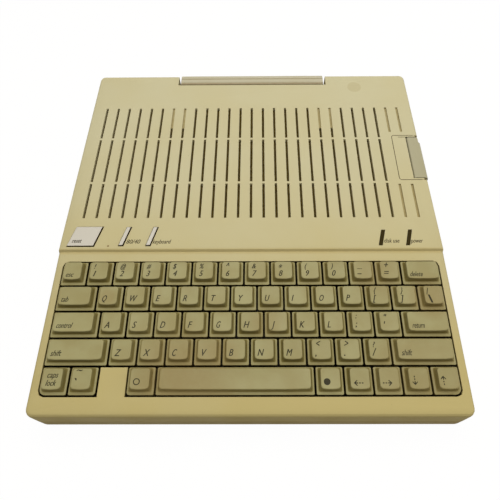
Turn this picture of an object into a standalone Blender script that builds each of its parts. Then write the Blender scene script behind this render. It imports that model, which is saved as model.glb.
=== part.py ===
"""Portable home computer with a built-in keyboard, a side-loading disk drive and a swing-down handle.

The origin is on the surface that the feet stand on, under the middle of the whole computer.
+X is the right-hand side as the typist sees it, +Y runs to the rear and +Z is up.
Two sloping planes make the top: the key deck in front and the vent deck behind it, one step higher.
A point on either deck is given by x, by its way up the slope and by its height over the deck.
"""
import math

import bmesh
import bpy
from mathutils import Matrix, Vector

MM = 0.001
DEG = math.pi / 180.0
QUARTER_TURN = math.pi / 2
HALF_TURN = math.pi
FULL_TURN = 2 * math.pi

# Points and sides of round forms
ROD_SIDES = 12
SMALL_ROD_SIDES = 8
POST_SIDES = 10
BEND_POINTS = 4
WELL_CORNER_POINTS = 3
PLAN_CORNER_POINTS = 5
EDGE_STEPS = 3

# Keyboard field
KEY_PITCH = 19.05 * MM
KEY_GAP = 1.1 * MM
FIELD_SIDE_MARGIN = 7.55 * MM
FIELD_FRONT_MARGIN = 12.5 * MM
FIELD_REAR_MARGIN = 8.2 * MM
WELL_CLEARANCE = 0.5 * MM
KEY_SLOPE_ANGLE = 7.5 * DEG

# Rows of keys from the rear to the front, each key by name and its width as a share of the key pitch
NUMBER_ROW_SHARES = (
    ("esc", 1), ("1", 1), ("2", 1), ("3", 1), ("4", 1), ("5", 1), ("6", 1), ("7", 1), ("8", 1),
    ("9", 1), ("0", 1), ("minus", 1), ("equals", 1), ("delete", 1.5),
)
UPPER_ROW_SHARES = (
    ("tab", 1.5), ("q", 1), ("w", 1), ("e", 1), ("r", 1), ("t", 1), ("y", 1), ("u", 1), ("i", 1),
    ("o", 1), ("p", 1), ("bracket_left", 1), ("bracket_right", 1), ("backslash", 1),
)
HOME_ROW_SHARES = (
    ("control", 1.75), ("a", 1), ("s", 1), ("d", 1), ("f", 1), ("g", 1), ("h", 1), ("j", 1),
    ("k", 1), ("l", 1), ("semicolon", 1), ("quote", 1), ("return", 1.75),
)
LOWER_ROW_SHARES = (
    ("shift_left", 2.25), ("z", 1), ("x", 1), ("c", 1), ("v", 1), ("b", 1), ("n", 1), ("m", 1),
    ("comma", 1), ("period", 1), ("slash", 1), ("shift_right", 2.25),
)
SPACE_ROW_SHARES = (
    ("caps_lock", 1), ("grave", 1), (None, 1), ("mark_left", 1), ("space", 5.5),
    ("mark_right", 1), ("arrow_left", 1), ("arrow_right", 1), ("arrow_down", 1), ("arrow_up", 1),
)
KEY_ROWS = (SPACE_ROW_SHARES, LOWER_ROW_SHARES, HOME_ROW_SHARES, UPPER_ROW_SHARES, NUMBER_ROW_SHARES)
ROWS_THAT_SLIDE = (LOWER_ROW_SHARES, HOME_ROW_SHARES, UPPER_ROW_SHARES)

# Keycaps, with heights counted from the key deck
CAP_RIM_HEIGHT = 0.5 * MM
CAP_SHELF_RISE = 0.4 * MM
CAP_PAD_RISE = 4.2 * MM
CAP_SKIRT = 5.5 * MM
CAP_WALL = 1.2 * MM
CAP_ROOF = 1.4 * MM
CAP_DISH = 0.35 * MM
CAP_SHELF_WIDTH = 1.25 * MM
CAP_SHELF_FRONT_WIDTH = 1.6 * MM
CAP_PAD_SIDE_MARGIN = 2.7 * MM
CAP_PAD_FRONT_MARGIN = 3.5 * MM
CAP_PAD_REAR_MARGIN = 1.3 * MM
CAP_PAD_BOW = 0.7 * MM
CAP_PAD_BOW_RUN = 3.0 * MM
CAP_CORNER = 0.9 * MM
CAP_PAD_CORNER = 1.6 * MM
WELL_CORNER = 4.0 * MM
KEY_TRAVEL = 3.5 * MM
STEM_WIDTH = 4.0 * MM
STEM_ENGAGEMENT = 3.0 * MM
STEM_CORNERS = 4
SWITCH_WALL = 1.8 * MM

# Keyboard plate
PLATE_THICKNESS = 1.5 * MM
PLATE_MARGIN_SIDE = 1.6 * MM
PLATE_MARGIN_FRONT = 9.0 * MM
PLATE_MARGIN_REAR = 6.5 * MM
PLATE_POST_RADIUS = 2.4 * MM
PLATE_POST_SPREAD_SHARES = (-0.42, -0.14, 0.14, 0.42)

# Casing
VENT_DECK_RUN = 188.6 * MM
FRONT_HEIGHT = 32.6 * MM
CREASE_RISE = 2.0 * MM
CREASE_RUN = 1.0 * MM
REAR_HEIGHT = 63.5 * MM
WALL = 2.5 * MM
EDGE_RADIUS = 3.0 * MM
PLAN_RADIUS = 5.0 * MM
SIDE_DRAFT_ANGLE = 2.6 * DEG
SEAM_HEIGHT = 16.0 * MM
BELLY_HEIGHT = 3.0 * MM
BELLY_CHAMFER = 3.0 * MM
FIT = 0.3 * MM
OVERRUN = 4.0 * MM
WELD = 0.6 * MM

# Cooling slots on the vent deck
SLOT_COLUMNS = 27
SLOT_PITCH = 10.0 * MM
SLOT_WIDTH = 2.0 * MM
SLOT_START = 28.8 * MM
SLOT_FRONT_LENGTH = 33.0 * MM
SLOT_MIDDLE_LENGTH = 44.9 * MM
SLOT_REAR_LENGTH = 35.4 * MM
SLOT_BRIDGE = 2.0 * MM
RECESS_SLOT_GAP = 4.0 * MM
BLIND_DEPTH = 1.2 * MM
BOSS_COLUMN_PAIRS = ((-7, -6), (6, 7))
BOSS_START = 123.0 * MM
BOSS_LENGTH = 26.0 * MM
BOSS_DEPTH = 6.0 * MM

# Slanted button, switches and lamps beside the crease
CONTROL_SLANT_ANGLE = 15.0 * DEG
RESET_WIDTH = 19.9 * MM
RESET_LENGTH = 16.6 * MM
RESET_CENTRE_X = -125.5 * MM
CONTROL_CENTRE = 12.2 * MM
SWITCH_WIDTH = 3.0 * MM
SWITCH_LENGTH = 15.8 * MM
WIDTH_SWITCH_X = -95.3 * MM
LAYOUT_SWITCH_X = -74.8 * MM
BUTTON_STAND = 0.9 * MM
BUTTON_CLEARANCE = 0.6 * MM
BUTTON_DEPTH = 8.0 * MM
BUTTON_FLANGE = 1.2 * MM
BUTTON_FLANGE_DEPTH = 1.2 * MM
LAMP_WIDTH = 2.5 * MM
LAMP_LENGTH = 13.2 * MM
LAMP_CENTRE = 10.7 * MM
DISK_LAMP_X = 99.0 * MM
POWER_LAMP_X = 119.4 * MM
LAMP_DEPTH = 4.0 * MM
LAMP_SINK = 0.15 * MM

# Disk drive recess, bezel and door on the right-hand side
RECESS_CENTRE = 88.8 * MM
RECESS_LENGTH = 48.0 * MM
RECESS_WIDTH = 23.2 * MM
RECESS_CORNER = 2.3 * MM
BEZEL_THICKNESS = 3.0 * MM
BEZEL_EAR = 1.4 * MM
BEZEL_LEG_SET_IN = 0.15 * MM
BEZEL_GROOVE_START = 5.5 * MM
BEZEL_GROOVE_DEPTH = 0.6 * MM
BEZEL_GROOVE_WIDTH = 0.5 * MM
BARREL_CLEARANCE = 0.8 * MM
SIDE_PLATE_THICKNESS = 2.5 * MM
SIDE_PLATE_LAP = 2.8 * MM
DISK_SLOT_LENGTH = 138.0 * MM
DISK_SLOT_HEIGHT = 5.0 * MM
DISK_SLOT_LEVEL = 31.0 * MM
SLOT_SURROUND = 5.0 * MM
DOOR_WIDTH = 10.5 * MM
DOOR_END_GAP = 0.6 * MM
DOOR_THICKNESS = 3.0 * MM
DOOR_PANEL_THICKNESS = 2.2 * MM
DOOR_LIP_REACH = 1.0 * MM
DOOR_LIP_SET_BACK = 5.5 * MM
DOOR_SLOT_LAP = 1.2 * MM
DOOR_PIN_RADIUS = 0.8 * MM
DOOR_PIN_LENGTH = 1.5 * MM
DOOR_BARREL_POINTS = 7

# Disk drive
DRIVE_LENGTH = 148.0 * MM
DRIVE_SIDE_WALL = 4.0 * MM
DRIVE_HEADROOM = 1.3 * MM
DRIVE_LEVEL = 12.6 * MM
DRIVE_TUNNEL_DEPTH = 136.0 * MM
DRIVE_RAIL_WIDTH = 8.0 * MM
DRIVE_RIB_WIDTH = 3.0 * MM
DRIVE_RIB_DEPTH = 2.0 * MM
DRIVE_RIB_PITCH = 14.0 * MM

# Main board, its chips and the parts at the typist's left
BOARD_LEVEL = 9.0 * MM
BOARD_THICKNESS = 1.6 * MM
BOARD_MARGIN = 4.0 * MM
BOARD_FRONT = 30.0 * MM
CHIP_WIDTH = 7.0 * MM
CHIP_LENGTH = 24.0 * MM
LARGE_CHIP_LENGTH = 52.0 * MM
LARGE_CHIP_WIDTH = 15.0 * MM
CHIP_HEIGHT = 4.0 * MM
CHIP_PITCH_X = 32.0 * MM
CHIP_PITCH_Y = 12.0 * MM
CHIP_ROWS = 3
LARGE_CHIP_SPREAD_SHARES = (0.24, 0.46, 0.68)
STANDOFF_RADIUS = 5.0 * MM
STANDOFF_INSET = 9.0 * MM
SCREW_WELL_RADIUS = 3.5 * MM
SCREW_WELL_ROOF = 1.5 * MM
WHEEL_RADIUS = 9.0 * MM
WHEEL_THICKNESS = 3.5 * MM
WHEEL_LEVEL = 20.5 * MM
WHEEL_REACH = 1.0 * MM
WHEEL_PLACE = 95.0 * MM
WHEEL_RIBS = 18
WHEEL_RIB_DEPTH = 0.5 * MM
WHEEL_SEAT_RADIUS = 5.0 * MM
WHEEL_SLIT_CLEARANCE = 0.6 * MM
WHEEL_POST_RADIUS = 2.0 * MM
JACK_PLACE = 72.0 * MM
JACK_RADIUS = 3.0 * MM
JACK_BORE_RADIUS = 1.75 * MM
JACK_BLOCK = 11.0 * MM
JACK_BLOCK_LENGTH = 13.0 * MM

# Power converter
CONVERTER_WIDTH = 56.0 * MM
CONVERTER_LENGTH = 86.0 * MM
CONVERTER_HEIGHT = 30.0 * MM
CONVERTER_X = -104.0 * MM
CONVERTER_REAR_SPACE = 24.0 * MM
CONVERTER_FIN_COUNT = 7
CONVERTER_FIN_DEPTH = 5.0 * MM
CONVERTER_FIN_GAP = 3.5 * MM

# Port bay across the rear
BAY_DEPTH = 13.0 * MM
BAY_WIDTH = 260.0 * MM
BAY_TOP = 34.0 * MM
PORT_LEVEL = 19.0 * MM
PORT_REACH = 2.0 * MM
PORT_WALL = 1.0 * MM
PORT_BODY_DEPTH = 10.0 * MM
PORT_HOLLOW = 9.0 * MM
D_PORT_HEIGHT = 10.4 * MM
D_PORT_TAPER_ANGLE = 10.0 * DEG
ROUND_PORT_SIDES = 12
JOYSTICK_PORT_X = 113.0 * MM
JOYSTICK_PORT_WIDTH = 19.0 * MM
VIDEO_PORT_X = 43.0 * MM
VIDEO_PORT_WIDTH = 27.3 * MM
OUTER_DRIVE_PORT_X = -21.0 * MM
OUTER_DRIVE_PORT_WIDTH = 33.9 * MM
SERIAL_PORT_X = 86.0 * MM
SERIAL_PORT_RADIUS = 7.2 * MM
POWER_INLET_X = -105.0 * MM
POWER_INLET_RADIUS = 7.8 * MM
VIDEO_JACK_X = 14.0 * MM
VIDEO_JACK_RADIUS = 4.2 * MM
ROCKER_X = -120.5 * MM
ROCKER_WIDTH = 8.0 * MM
ROCKER_HEIGHT = 13.0 * MM
ROCKER_DEPTH = 7.0 * MM
ROCKER_TILT_ANGLE = 9.0 * DEG
ROCKER_PIN_RADIUS = 1.2 * MM
ROCKER_PIN_LENGTH = 1.2 * MM
ROCKER_CHEEK = 2.0 * MM
ROCKER_SWING_CLEARANCE = 0.9 * MM
ROCKER_HOLLOW = 0.9 * MM

# Cooling slots in the floor, in two banks
FLOOR_VENT_COUNT = 5
FLOOR_VENT_PITCH = 9.0 * MM
FLOOR_VENT_WIDTH = 3.0 * MM
FLOOR_VENT_LENGTH = 50.0 * MM
FLOOR_VENT_X = 66.0 * MM
FLOOR_VENT_PLACE = 192.0 * MM

# Carrying handle
HANDLE_WIDTH = 133.2 * MM
HANDLE_GAP = 2.2 * MM
HANDLE_REACH = 1.4 * MM
HANDLE_FRONT_GAP = 0.9 * MM
HANDLE_CORNER = 2.0 * MM
HANDLE_CROWN_FALL = 0.7 * MM
NOTCH_MOUTH_RADIUS = 1.6 * MM
HANDLE_GRIP = 14.0 * MM
HANDLE_ARM = 8.0 * MM
HANDLE_RADIUS = 2.5 * MM
HANDLE_PIVOT_HEIGHT = 12.0 * MM
HANDLE_PIVOT_BACK = 6.0 * MM
HANDLE_EYE_RADIUS = 6.0 * MM
HANDLE_PIN_RADIUS = 2.5 * MM
HANDLE_PIN_LENGTH = 4.0 * MM
HANDLE_LUG = 6.0 * MM
HANDLE_LUG_RADIUS = 6.5 * MM
HANDLE_ROUND_POINTS = 9

# Feet
FOOT_RADIUS = 6.0 * MM
FOOT_SEAT_DEPTH = 0.8 * MM
FOOT_INSET_X = 24.0 * MM
FOOT_INSET_Y = 26.0 * MM
FOOT_SIDES = 16

# Places that follow from the sizes above
ROW_COUNT = len(KEY_ROWS)
FIELD_PITCHES = sum(width for _, width in SPACE_ROW_SHARES)
FIELD_WIDTH = FIELD_PITCHES * KEY_PITCH
FIELD_DEPTH = ROW_COUNT * KEY_PITCH
CASE_WIDTH = FIELD_WIDTH + 2 * FIELD_SIDE_MARGIN
KEY_DECK_LENGTH = FIELD_FRONT_MARGIN + FIELD_DEPTH + FIELD_REAR_MARGIN
KEY_DECK_RUN = KEY_DECK_LENGTH * math.cos(KEY_SLOPE_ANGLE)
CASE_DEPTH = KEY_DECK_RUN + VENT_DECK_RUN
HALF_WIDTH = CASE_WIDTH / 2
CASE_FRONT = -(CASE_DEPTH + HANDLE_REACH) / 2
CASE_REAR = CASE_FRONT + CASE_DEPTH
CREASE_Y = CASE_FRONT + KEY_DECK_RUN
CREASE_FOOT_HEIGHT = FRONT_HEIGHT + KEY_DECK_RUN * math.tan(KEY_SLOPE_ANGLE)
CREASE_TOP_HEIGHT = CREASE_FOOT_HEIGHT + CREASE_RISE
VENT_SLOPE_ANGLE = math.atan2(REAR_HEIGHT - CREASE_TOP_HEIGHT, VENT_DECK_RUN)
CAP_RIM_TO_SKIRT = CAP_SKIRT - CAP_RIM_HEIGHT
STEM_FOOT = -(CAP_RIM_TO_SKIRT + FIT + PLATE_THICKNESS)
SWITCH_TOP = STEM_FOOT + STEM_ENGAGEMENT
PLATE_TOP = STEM_FOOT - KEY_TRAVEL - 2 * FIT
BAY_FRONT = CASE_REAR - BAY_DEPTH
NOTCH_HALF = HANDLE_WIDTH / 2 + HANDLE_GAP
DRIVE_DECK_HEIGHT = CREASE_TOP_HEIGHT + RECESS_CENTRE * math.sin(VENT_SLOPE_ANGLE)
DRIVE_EDGE_X = HALF_WIDTH - (DRIVE_DECK_HEIGHT - SEAM_HEIGHT) * math.tan(SIDE_DRAFT_ANGLE)
RECESS_X = DRIVE_EDGE_X - RECESS_WIDTH
DOOR_AXIS_X = DRIVE_EDGE_X - DOOR_WIDTH + DOOR_THICKNESS / 2
HANDLE_PIVOT = Vector((0, CASE_REAR + HANDLE_REACH - HANDLE_PIVOT_BACK - HANDLE_REACH / 2,
                       HANDLE_PIVOT_HEIGHT))
FLOOR_TOP = BELLY_HEIGHT + WALL
BOARD_TOP = BOARD_LEVEL + BOARD_THICKNESS
SIDE_OPENING_LENGTH = DISK_SLOT_LENGTH + 2 * SLOT_SURROUND
SIDE_OPENING_HEIGHT = DISK_SLOT_HEIGHT + 2 * SLOT_SURROUND
SIDE_PLATE_TOP = DISK_SLOT_LEVEL + SIDE_OPENING_HEIGHT / 2 + SIDE_PLATE_LAP
SIDE_PLATE_FOOT = DISK_SLOT_LEVEL - SIDE_OPENING_HEIGHT / 2 - SIDE_PLATE_LAP
DRIVE_BREADTH = DISK_SLOT_LENGTH + 2 * DRIVE_SIDE_WALL
SLOT_LENGTHS = (SLOT_FRONT_LENGTH, SLOT_MIDDLE_LENGTH, SLOT_REAR_LENGTH)
D_PORTS = (("joystick", JOYSTICK_PORT_X, JOYSTICK_PORT_WIDTH),
           ("video_expansion", VIDEO_PORT_X, VIDEO_PORT_WIDTH),
           ("outer_drive", OUTER_DRIVE_PORT_X, OUTER_DRIVE_PORT_WIDTH))
ROUND_PORTS = (("serial_right", SERIAL_PORT_X, SERIAL_PORT_RADIUS),
               ("serial_left", -SERIAL_PORT_X, SERIAL_PORT_RADIUS),
               ("power_inlet", POWER_INLET_X, POWER_INLET_RADIUS))


def deck_height(y):
    """Height of the top of the case at a place between its front and its rear."""
    if y <= CREASE_Y:
        return FRONT_HEIGHT + (y - CASE_FRONT) * math.tan(KEY_SLOPE_ANGLE)
    if y < CREASE_Y + CREASE_RUN:
        share = (y - CREASE_Y) / CREASE_RUN
        return CREASE_FOOT_HEIGHT + share * (vent_height(CREASE_Y + CREASE_RUN) - CREASE_FOOT_HEIGHT)
    return vent_height(y)


def vent_height(y):
    """Height of the vent deck's plane."""
    return CREASE_TOP_HEIGHT + (y - CREASE_Y) * math.tan(VENT_SLOPE_ANGLE)


def half_width_at(height):
    """Half the width of the upper case at a height, as its side walls lean in above the seam."""
    return HALF_WIDTH - (height - SEAM_HEIGHT) * math.tan(SIDE_DRAFT_ANGLE)


def key_deck_frame(x=0.0, along=0.0, out=0.0):
    """Matrix whose X, Y and Z are across, up the slope and out of the key deck."""
    turn = Matrix.Rotation(KEY_SLOPE_ANGLE, 4, "X")
    start = Matrix.Translation((0, CASE_FRONT, FRONT_HEIGHT))
    return start @ turn @ Matrix.Translation((x, FIELD_FRONT_MARGIN + along, out))


def vent_deck_frame(x=0.0, along=0.0, out=0.0):
    """Matrix whose X, Y and Z are across, up the slope and out of the vent deck."""
    turn = Matrix.Rotation(VENT_SLOPE_ANGLE, 4, "X")
    start = Matrix.Translation((0, CREASE_Y, CREASE_TOP_HEIGHT))
    return start @ turn @ Matrix.Translation((x, along, out))


def make_material(name, colour, roughness, metallic=0.0):
    """Principled material with one colour given as linear red, green and blue."""
    material = bpy.data.materials.new(name)
    material.use_nodes = True
    shader = material.node_tree.nodes["Principled BSDF"]
    shader.inputs["Base Color"].default_value = (*colour, 1.0)
    shader.inputs["Roughness"].default_value = roughness
    shader.inputs["Metallic"].default_value = metallic
    material.diffuse_color = (*colour, 1.0)
    return material


def make_mesh(name, points, faces):
    """Mesh with its faces turned outwards."""
    mesh = bpy.data.meshes.new(name)
    mesh.from_pydata([tuple(p) for p in points], [], [tuple(f) for f in faces])
    form = bmesh.new()
    form.from_mesh(mesh)
    bmesh.ops.recalc_face_normals(form, faces=form.faces)
    form.to_mesh(mesh)
    form.free()
    return mesh


def make_object(name, mesh, material=None):
    """Object in the scene for a mesh."""
    thing = bpy.data.objects.new(name, mesh)
    bpy.context.scene.collection.objects.link(thing)
    if material:
        thing.data.materials.append(material)
    return thing


def loft(rings, frame=Matrix.Identity(4)):
    """Points and faces of a closed skin through rings of as many points each, capped at both ends."""
    count = len(rings[0])
    points = [frame @ Vector(p) for ring in rings for p in ring]
    faces = [tuple(range(count)), tuple(range(len(points) - count, len(points)))]
    for level in range(len(rings) - 1):
        base = level * count
        for i in range(count):
            j = (i + 1) % count
            faces.append((base + i, base + j, base + count + j, base + count + i))
    return points, faces


def prism(outline, low, high, frame=Matrix.Identity(4)):
    """Closed prism over an outline in a frame's X and Y, from one height to another."""
    return loft([[(x, y, low) for x, y in outline], [(x, y, high) for x, y in outline]], frame)


def block(low, high, frame=Matrix.Identity(4)):
    """Closed box between two corners of a frame."""
    return prism([(low[0], low[1]), (high[0], low[1]), (high[0], high[1]), (low[0], high[1])],
                 low[2], high[2], frame)


def rod(centre, radius, start, end, axis="Z", sides=ROD_SIDES):
    """Closed rod along a world axis between two places on it."""
    if axis == "X":
        frame = Matrix.Rotation(QUARTER_TURN, 4, "Y")
        flat = (-centre[1], centre[0])
    elif axis == "Y":
        frame = Matrix.Rotation(-QUARTER_TURN, 4, "X")
        flat = (centre[0], -centre[1])
    else:
        frame = Matrix.Identity(4)
        flat = centre
    return prism(circle(flat, radius, sides), start, end, frame)


def circle(centre, radius, sides, start=0.0, sweep=FULL_TURN):
    """Points of a circle, or of an arc with both its ends when the sweep is less than a turn."""
    steps = sides if sweep >= FULL_TURN else sides - 1
    return [(centre[0] + radius * math.cos(start + sweep * i / steps),
             centre[1] + radius * math.sin(start + sweep * i / steps)) for i in range(sides)]


def rounded_rectangle(low, high, radius, points):
    """Outline of a rectangle with round corners, counter-clockwise from its right front corner."""
    corners = ((high[0] - radius, low[1] + radius), (high[0] - radius, high[1] - radius),
               (low[0] + radius, high[1] - radius), (low[0] + radius, low[1] + radius))
    outline = []
    for quarter, centre in enumerate(corners):
        outline += circle(centre, radius, points, (quarter - 1) * QUARTER_TURN, QUARTER_TURN)
    return outline


def slanted_rectangle(centre_x, centre_y, width, length, grow=0.0):
    """Parallelogram whose upper end leans to the right."""
    half_width = width / 2 + grow / math.cos(CONTROL_SLANT_ANGLE)
    half_length = length / 2 + grow
    lean = half_length * math.tan(CONTROL_SLANT_ANGLE)
    return [(centre_x - half_width - lean, centre_y - half_length),
            (centre_x + half_width - lean, centre_y - half_length),
            (centre_x + half_width + lean, centre_y + half_length),
            (centre_x - half_width + lean, centre_y + half_length)]


def join_forms(forms):
    """One list of points and one of faces for several closed forms that don't touch."""
    points, faces = [], []
    for some_points, some_faces in forms:
        start = len(points)
        points += list(some_points)
        faces += [tuple(start + i for i in face) for face in some_faces]
    return points, faces


def apply_modifiers(thing):
    """Replace an object's mesh by the mesh that its modifiers give."""
    graph = bpy.context.evaluated_depsgraph_get()
    result = bpy.data.meshes.new_from_object(thing.evaluated_get(graph))
    thing.modifiers.clear()
    thing.data = result


def combine(thing, forms, operation):
    """Unite an object with closed forms, or cut them out of it, in one step."""
    tool = make_object("tool", make_mesh("tool", *join_forms(forms)))
    step = thing.modifiers.new(operation, "BOOLEAN")
    step.operation = operation
    step.object = tool
    apply_modifiers(thing)
    bpy.data.objects.remove(tool)


def cut(thing, *forms):
    """Cut closed forms that don't touch each other out of an object."""
    combine(thing, forms, "DIFFERENCE")


def unite(thing, *forms):
    """Unite an object with each closed form in turn, so the forms may overlap."""
    for form in forms:
        combine(thing, [form], "UNION")


def move_origin(thing, place, turn=None):
    """Put an object's origin, and if given its axes, at a place without moving its solid."""
    frame = Matrix.Translation(place)
    if turn:
        frame = frame @ turn
    thing.data.transform(frame.inverted())
    thing.matrix_world = frame


def plan_ring(inset, height_of, radius, wall_height_of=None):
    """Ring of points round the case in plan, drawn in by an inset, with a height for each y.

    The ring is as wide as the leaning side walls are at the wall height, or as the straight
    walls of the bottom pan where no wall height is given.
    """
    steps = PLAN_CORNER_POINTS
    outline = rounded_rectangle((-HALF_WIDTH + inset, CASE_FRONT + inset),
                                (HALF_WIDTH - inset, CASE_REAR - inset), radius, steps)
    right = [(HALF_WIDTH - inset, CREASE_Y), (HALF_WIDTH - inset, CREASE_Y + CREASE_RUN)]
    left = [(-HALF_WIDTH + inset, CREASE_Y + CREASE_RUN), (-HALF_WIDTH + inset, CREASE_Y)]
    flat = outline[:steps] + right + outline[steps:3 * steps] + left + outline[3 * steps:]
    ring = []
    for x, y in flat:
        lean = HALF_WIDTH - half_width_at(wall_height_of(y)) if wall_height_of else 0
        ring.append(Vector((x - math.copysign(lean, x), y, height_of(y))))
    return ring


def deck_faces(ring, offset):
    """Three flat faces that fill a plan ring along the key deck, the crease and the vent deck."""
    middle = CREASE_Y + CREASE_RUN / 2
    foot = [i for i, p in enumerate(ring) if p.y < middle]
    head = [i for i, p in enumerate(ring) if p.y > middle]
    step_right = [i for i in foot if ring[i].x > 0][-1]
    step_left = [i for i in head if ring[i].x < 0][-1]
    crease = [step_right, step_right + 1, step_left, step_left + 1]
    return [tuple(offset + i for i in face) for face in (foot, head, crease)]


def case_solid(inset, drop, edge, base):
    """Solid under the decks, drawn in by an inset and lowered by a drop, with a round top edge."""
    rings = []
    edge_steps = EDGE_STEPS if edge else 0
    corner = max(PLAN_RADIUS - inset, WALL)

    def wall_top(y):
        return deck_height(y) - drop - edge

    for k in range(edge_steps):
        angle = QUARTER_TURN * k / edge_steps
        draw_in = edge * (1 - math.sin(angle))
        fall = edge * (1 - math.cos(angle))
        rings.append(plan_ring(inset + draw_in, lambda y, f=fall: deck_height(y) - drop - f,
                               corner - draw_in, wall_top))
    rings.append(plan_ring(inset, wall_top, corner, wall_top))
    rings.append(plan_ring(inset, lambda y: base, corner, lambda y: base))
    points, faces = loft(rings)
    faces[0:1] = deck_faces(rings[0], 0)
    return points, faces


def shell_height_drop():
    """Drop of the inner skin that leaves one wall thickness under the decks."""
    return WALL / math.cos(KEY_SLOPE_ANGLE)


def notch_box(grow, low, high):
    """Space for the handle behind the case, grown by a wall on its closed sides."""
    return block((-NOTCH_HALF - grow, BAY_FRONT - grow, low),
                 (NOTCH_HALF + grow, CASE_REAR + OVERRUN, high))


def notch_mouth():
    """Space for the handle behind the case, whose mouth is round at both sides."""
    radius = NOTCH_MOUTH_RADIUS
    side = NOTCH_HALF + radius
    right = circle((side, CASE_REAR - radius), radius, BEND_POINTS, HALF_TURN, -QUARTER_TURN)
    left = circle((-side, CASE_REAR - radius), radius, BEND_POINTS, QUARTER_TURN, -QUARTER_TURN)
    outline = [(-NOTCH_HALF, BAY_FRONT), (NOTCH_HALF, BAY_FRONT)] + right
    outline += [(side, CASE_REAR + OVERRUN), (-side, CASE_REAR + OVERRUN)] + left
    return prism(outline, 0, REAR_HEIGHT + OVERRUN)


def well_outline():
    """Outline of the key well, which runs round a tab of the case beside the front row's keys."""
    half = FIELD_WIDTH / 2
    low, high = -WELL_CLEARANCE, FIELD_DEPTH + WELL_CLEARANCE
    outline = rounded_rectangle((-half - WELL_CLEARANCE, low), (half + WELL_CLEARANCE, high),
                                WELL_CORNER, WELL_CORNER_POINTS)
    start = 0.0
    for name, width in SPACE_ROW_SHARES:
        if name is None:
            break
        start += width
    left = -half + start * KEY_PITCH + KEY_GAP / 2
    right = left + width * KEY_PITCH - KEY_GAP
    top = KEY_PITCH - KEY_GAP / 2
    return outline + [(left, low), (left, top), (right, top), (right, low)]


def slot_cutters():
    """Cooling slots, cut through the deck, and the shallow ones beside the drive."""
    cutters = []
    half_count = SLOT_COLUMNS // 2
    recess_low = RECESS_CENTRE - RECESS_LENGTH / 2 - RECESS_SLOT_GAP
    recess_high = RECESS_CENTRE + RECESS_LENGTH / 2 + RECESS_SLOT_GAP
    for column in range(-half_count, half_count + 1):
        x = column * SLOT_PITCH
        beside_drive = x + SLOT_PITCH > RECESS_X
        depth = BLIND_DEPTH if beside_drive else WALL + OVERRUN
        start = SLOT_START
        for length in SLOT_LENGTHS:
            low, high = start, start + length
            start = high + SLOT_BRIDGE
            if beside_drive:
                if low > recess_low and high < recess_high:
                    continue
                if low < recess_low < high:
                    high = recess_low
                if low < recess_high < high:
                    low = recess_high
            cutters.append(block((x - SLOT_WIDTH / 2, low, -depth),
                                 (x + SLOT_WIDTH / 2, high, OVERRUN), vent_deck_frame()))
    return cutters


def boss_forms():
    """Screw bosses under the deck, which close part of the slots above them."""
    forms = []
    for first, last in BOSS_COLUMN_PAIRS:
        low = first * SLOT_PITCH - SLOT_PITCH / 2
        high = last * SLOT_PITCH + SLOT_PITCH / 2
        forms.append(block((low, BOSS_START, -BOSS_DEPTH),
                           (high, BOSS_START + BOSS_LENGTH, -BLIND_DEPTH), vent_deck_frame()))
    return forms


def control_places():
    """Each button, switch and lamp by name with its place, width and length on the vent deck."""
    return {
        "reset_button": (RESET_CENTRE_X, CONTROL_CENTRE, RESET_WIDTH, RESET_LENGTH),
        "width_switch": (WIDTH_SWITCH_X, CONTROL_CENTRE, SWITCH_WIDTH, SWITCH_LENGTH),
        "layout_switch": (LAYOUT_SWITCH_X, CONTROL_CENTRE, SWITCH_WIDTH, SWITCH_LENGTH),
        "disk_lamp": (DISK_LAMP_X, LAMP_CENTRE, LAMP_WIDTH, LAMP_LENGTH),
        "power_lamp": (POWER_LAMP_X, LAMP_CENTRE, LAMP_WIDTH, LAMP_LENGTH),
    }


def control_clearance(name):
    """Gap between a control and the edge of its hole: wide round what is pressed."""
    return FIT if name.endswith("lamp") else BUTTON_CLEARANCE


def drive_centre_y():
    """Middle of the drive, its opening and its door."""
    return (vent_deck_frame(along=RECESS_CENTRE) @ Vector((0, 0, 0))).y


def side_opening(grow, start, end):
    """Long opening in the right-hand wall in front of the drive, grown on its edges."""
    half_length = SIDE_OPENING_LENGTH / 2 + grow
    half_height = SIDE_OPENING_HEIGHT / 2 + grow
    middle = drive_centre_y()
    return block((start, middle - half_length, DISK_SLOT_LEVEL - half_height),
                 (end, middle + half_length, DISK_SLOT_LEVEL + half_height))


def make_upper_case(material):
    """Top shell with its key well, slots, handle notch and openings for the controls."""
    seam = SEAM_HEIGHT + FIT
    shell = make_object("upper_case", make_mesh("upper_case", *case_solid(0, 0, EDGE_RADIUS, seam)),
                        material)
    hollow = make_object("hollow", make_mesh("hollow", *case_solid(WALL, shell_height_drop(), 0,
                                                                   seam - OVERRUN)))
    cut(hollow, notch_box(WALL, 0, REAR_HEIGHT + OVERRUN))
    cut(shell, notch_mouth())
    hollow_points = [v.co.copy() for v in hollow.data.vertices]
    hollow_faces = [tuple(p.vertices) for p in hollow.data.polygons]
    cut(shell, (hollow_points, hollow_faces))
    bpy.data.objects.remove(hollow)
    bay_half = BAY_WIDTH / 2 + FIT
    cut(shell, block((-bay_half, BAY_FRONT - WALL - FIT, 0),
                     (bay_half, CASE_REAR + OVERRUN, BAY_TOP + FIT)))
    cut(shell, prism(well_outline(), -WALL - OVERRUN, OVERRUN, key_deck_frame()))
    cut(shell, *slot_cutters())
    cut(shell, *[prism(slanted_rectangle(*place, control_clearance(name)), -WALL - OVERRUN, OVERRUN,
                       vent_deck_frame()) for name, place in control_places().items()])
    unite(shell, *boss_forms(), *plate_post_forms())
    cut_drive_openings(shell)
    cut_left_openings(shell)


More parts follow.
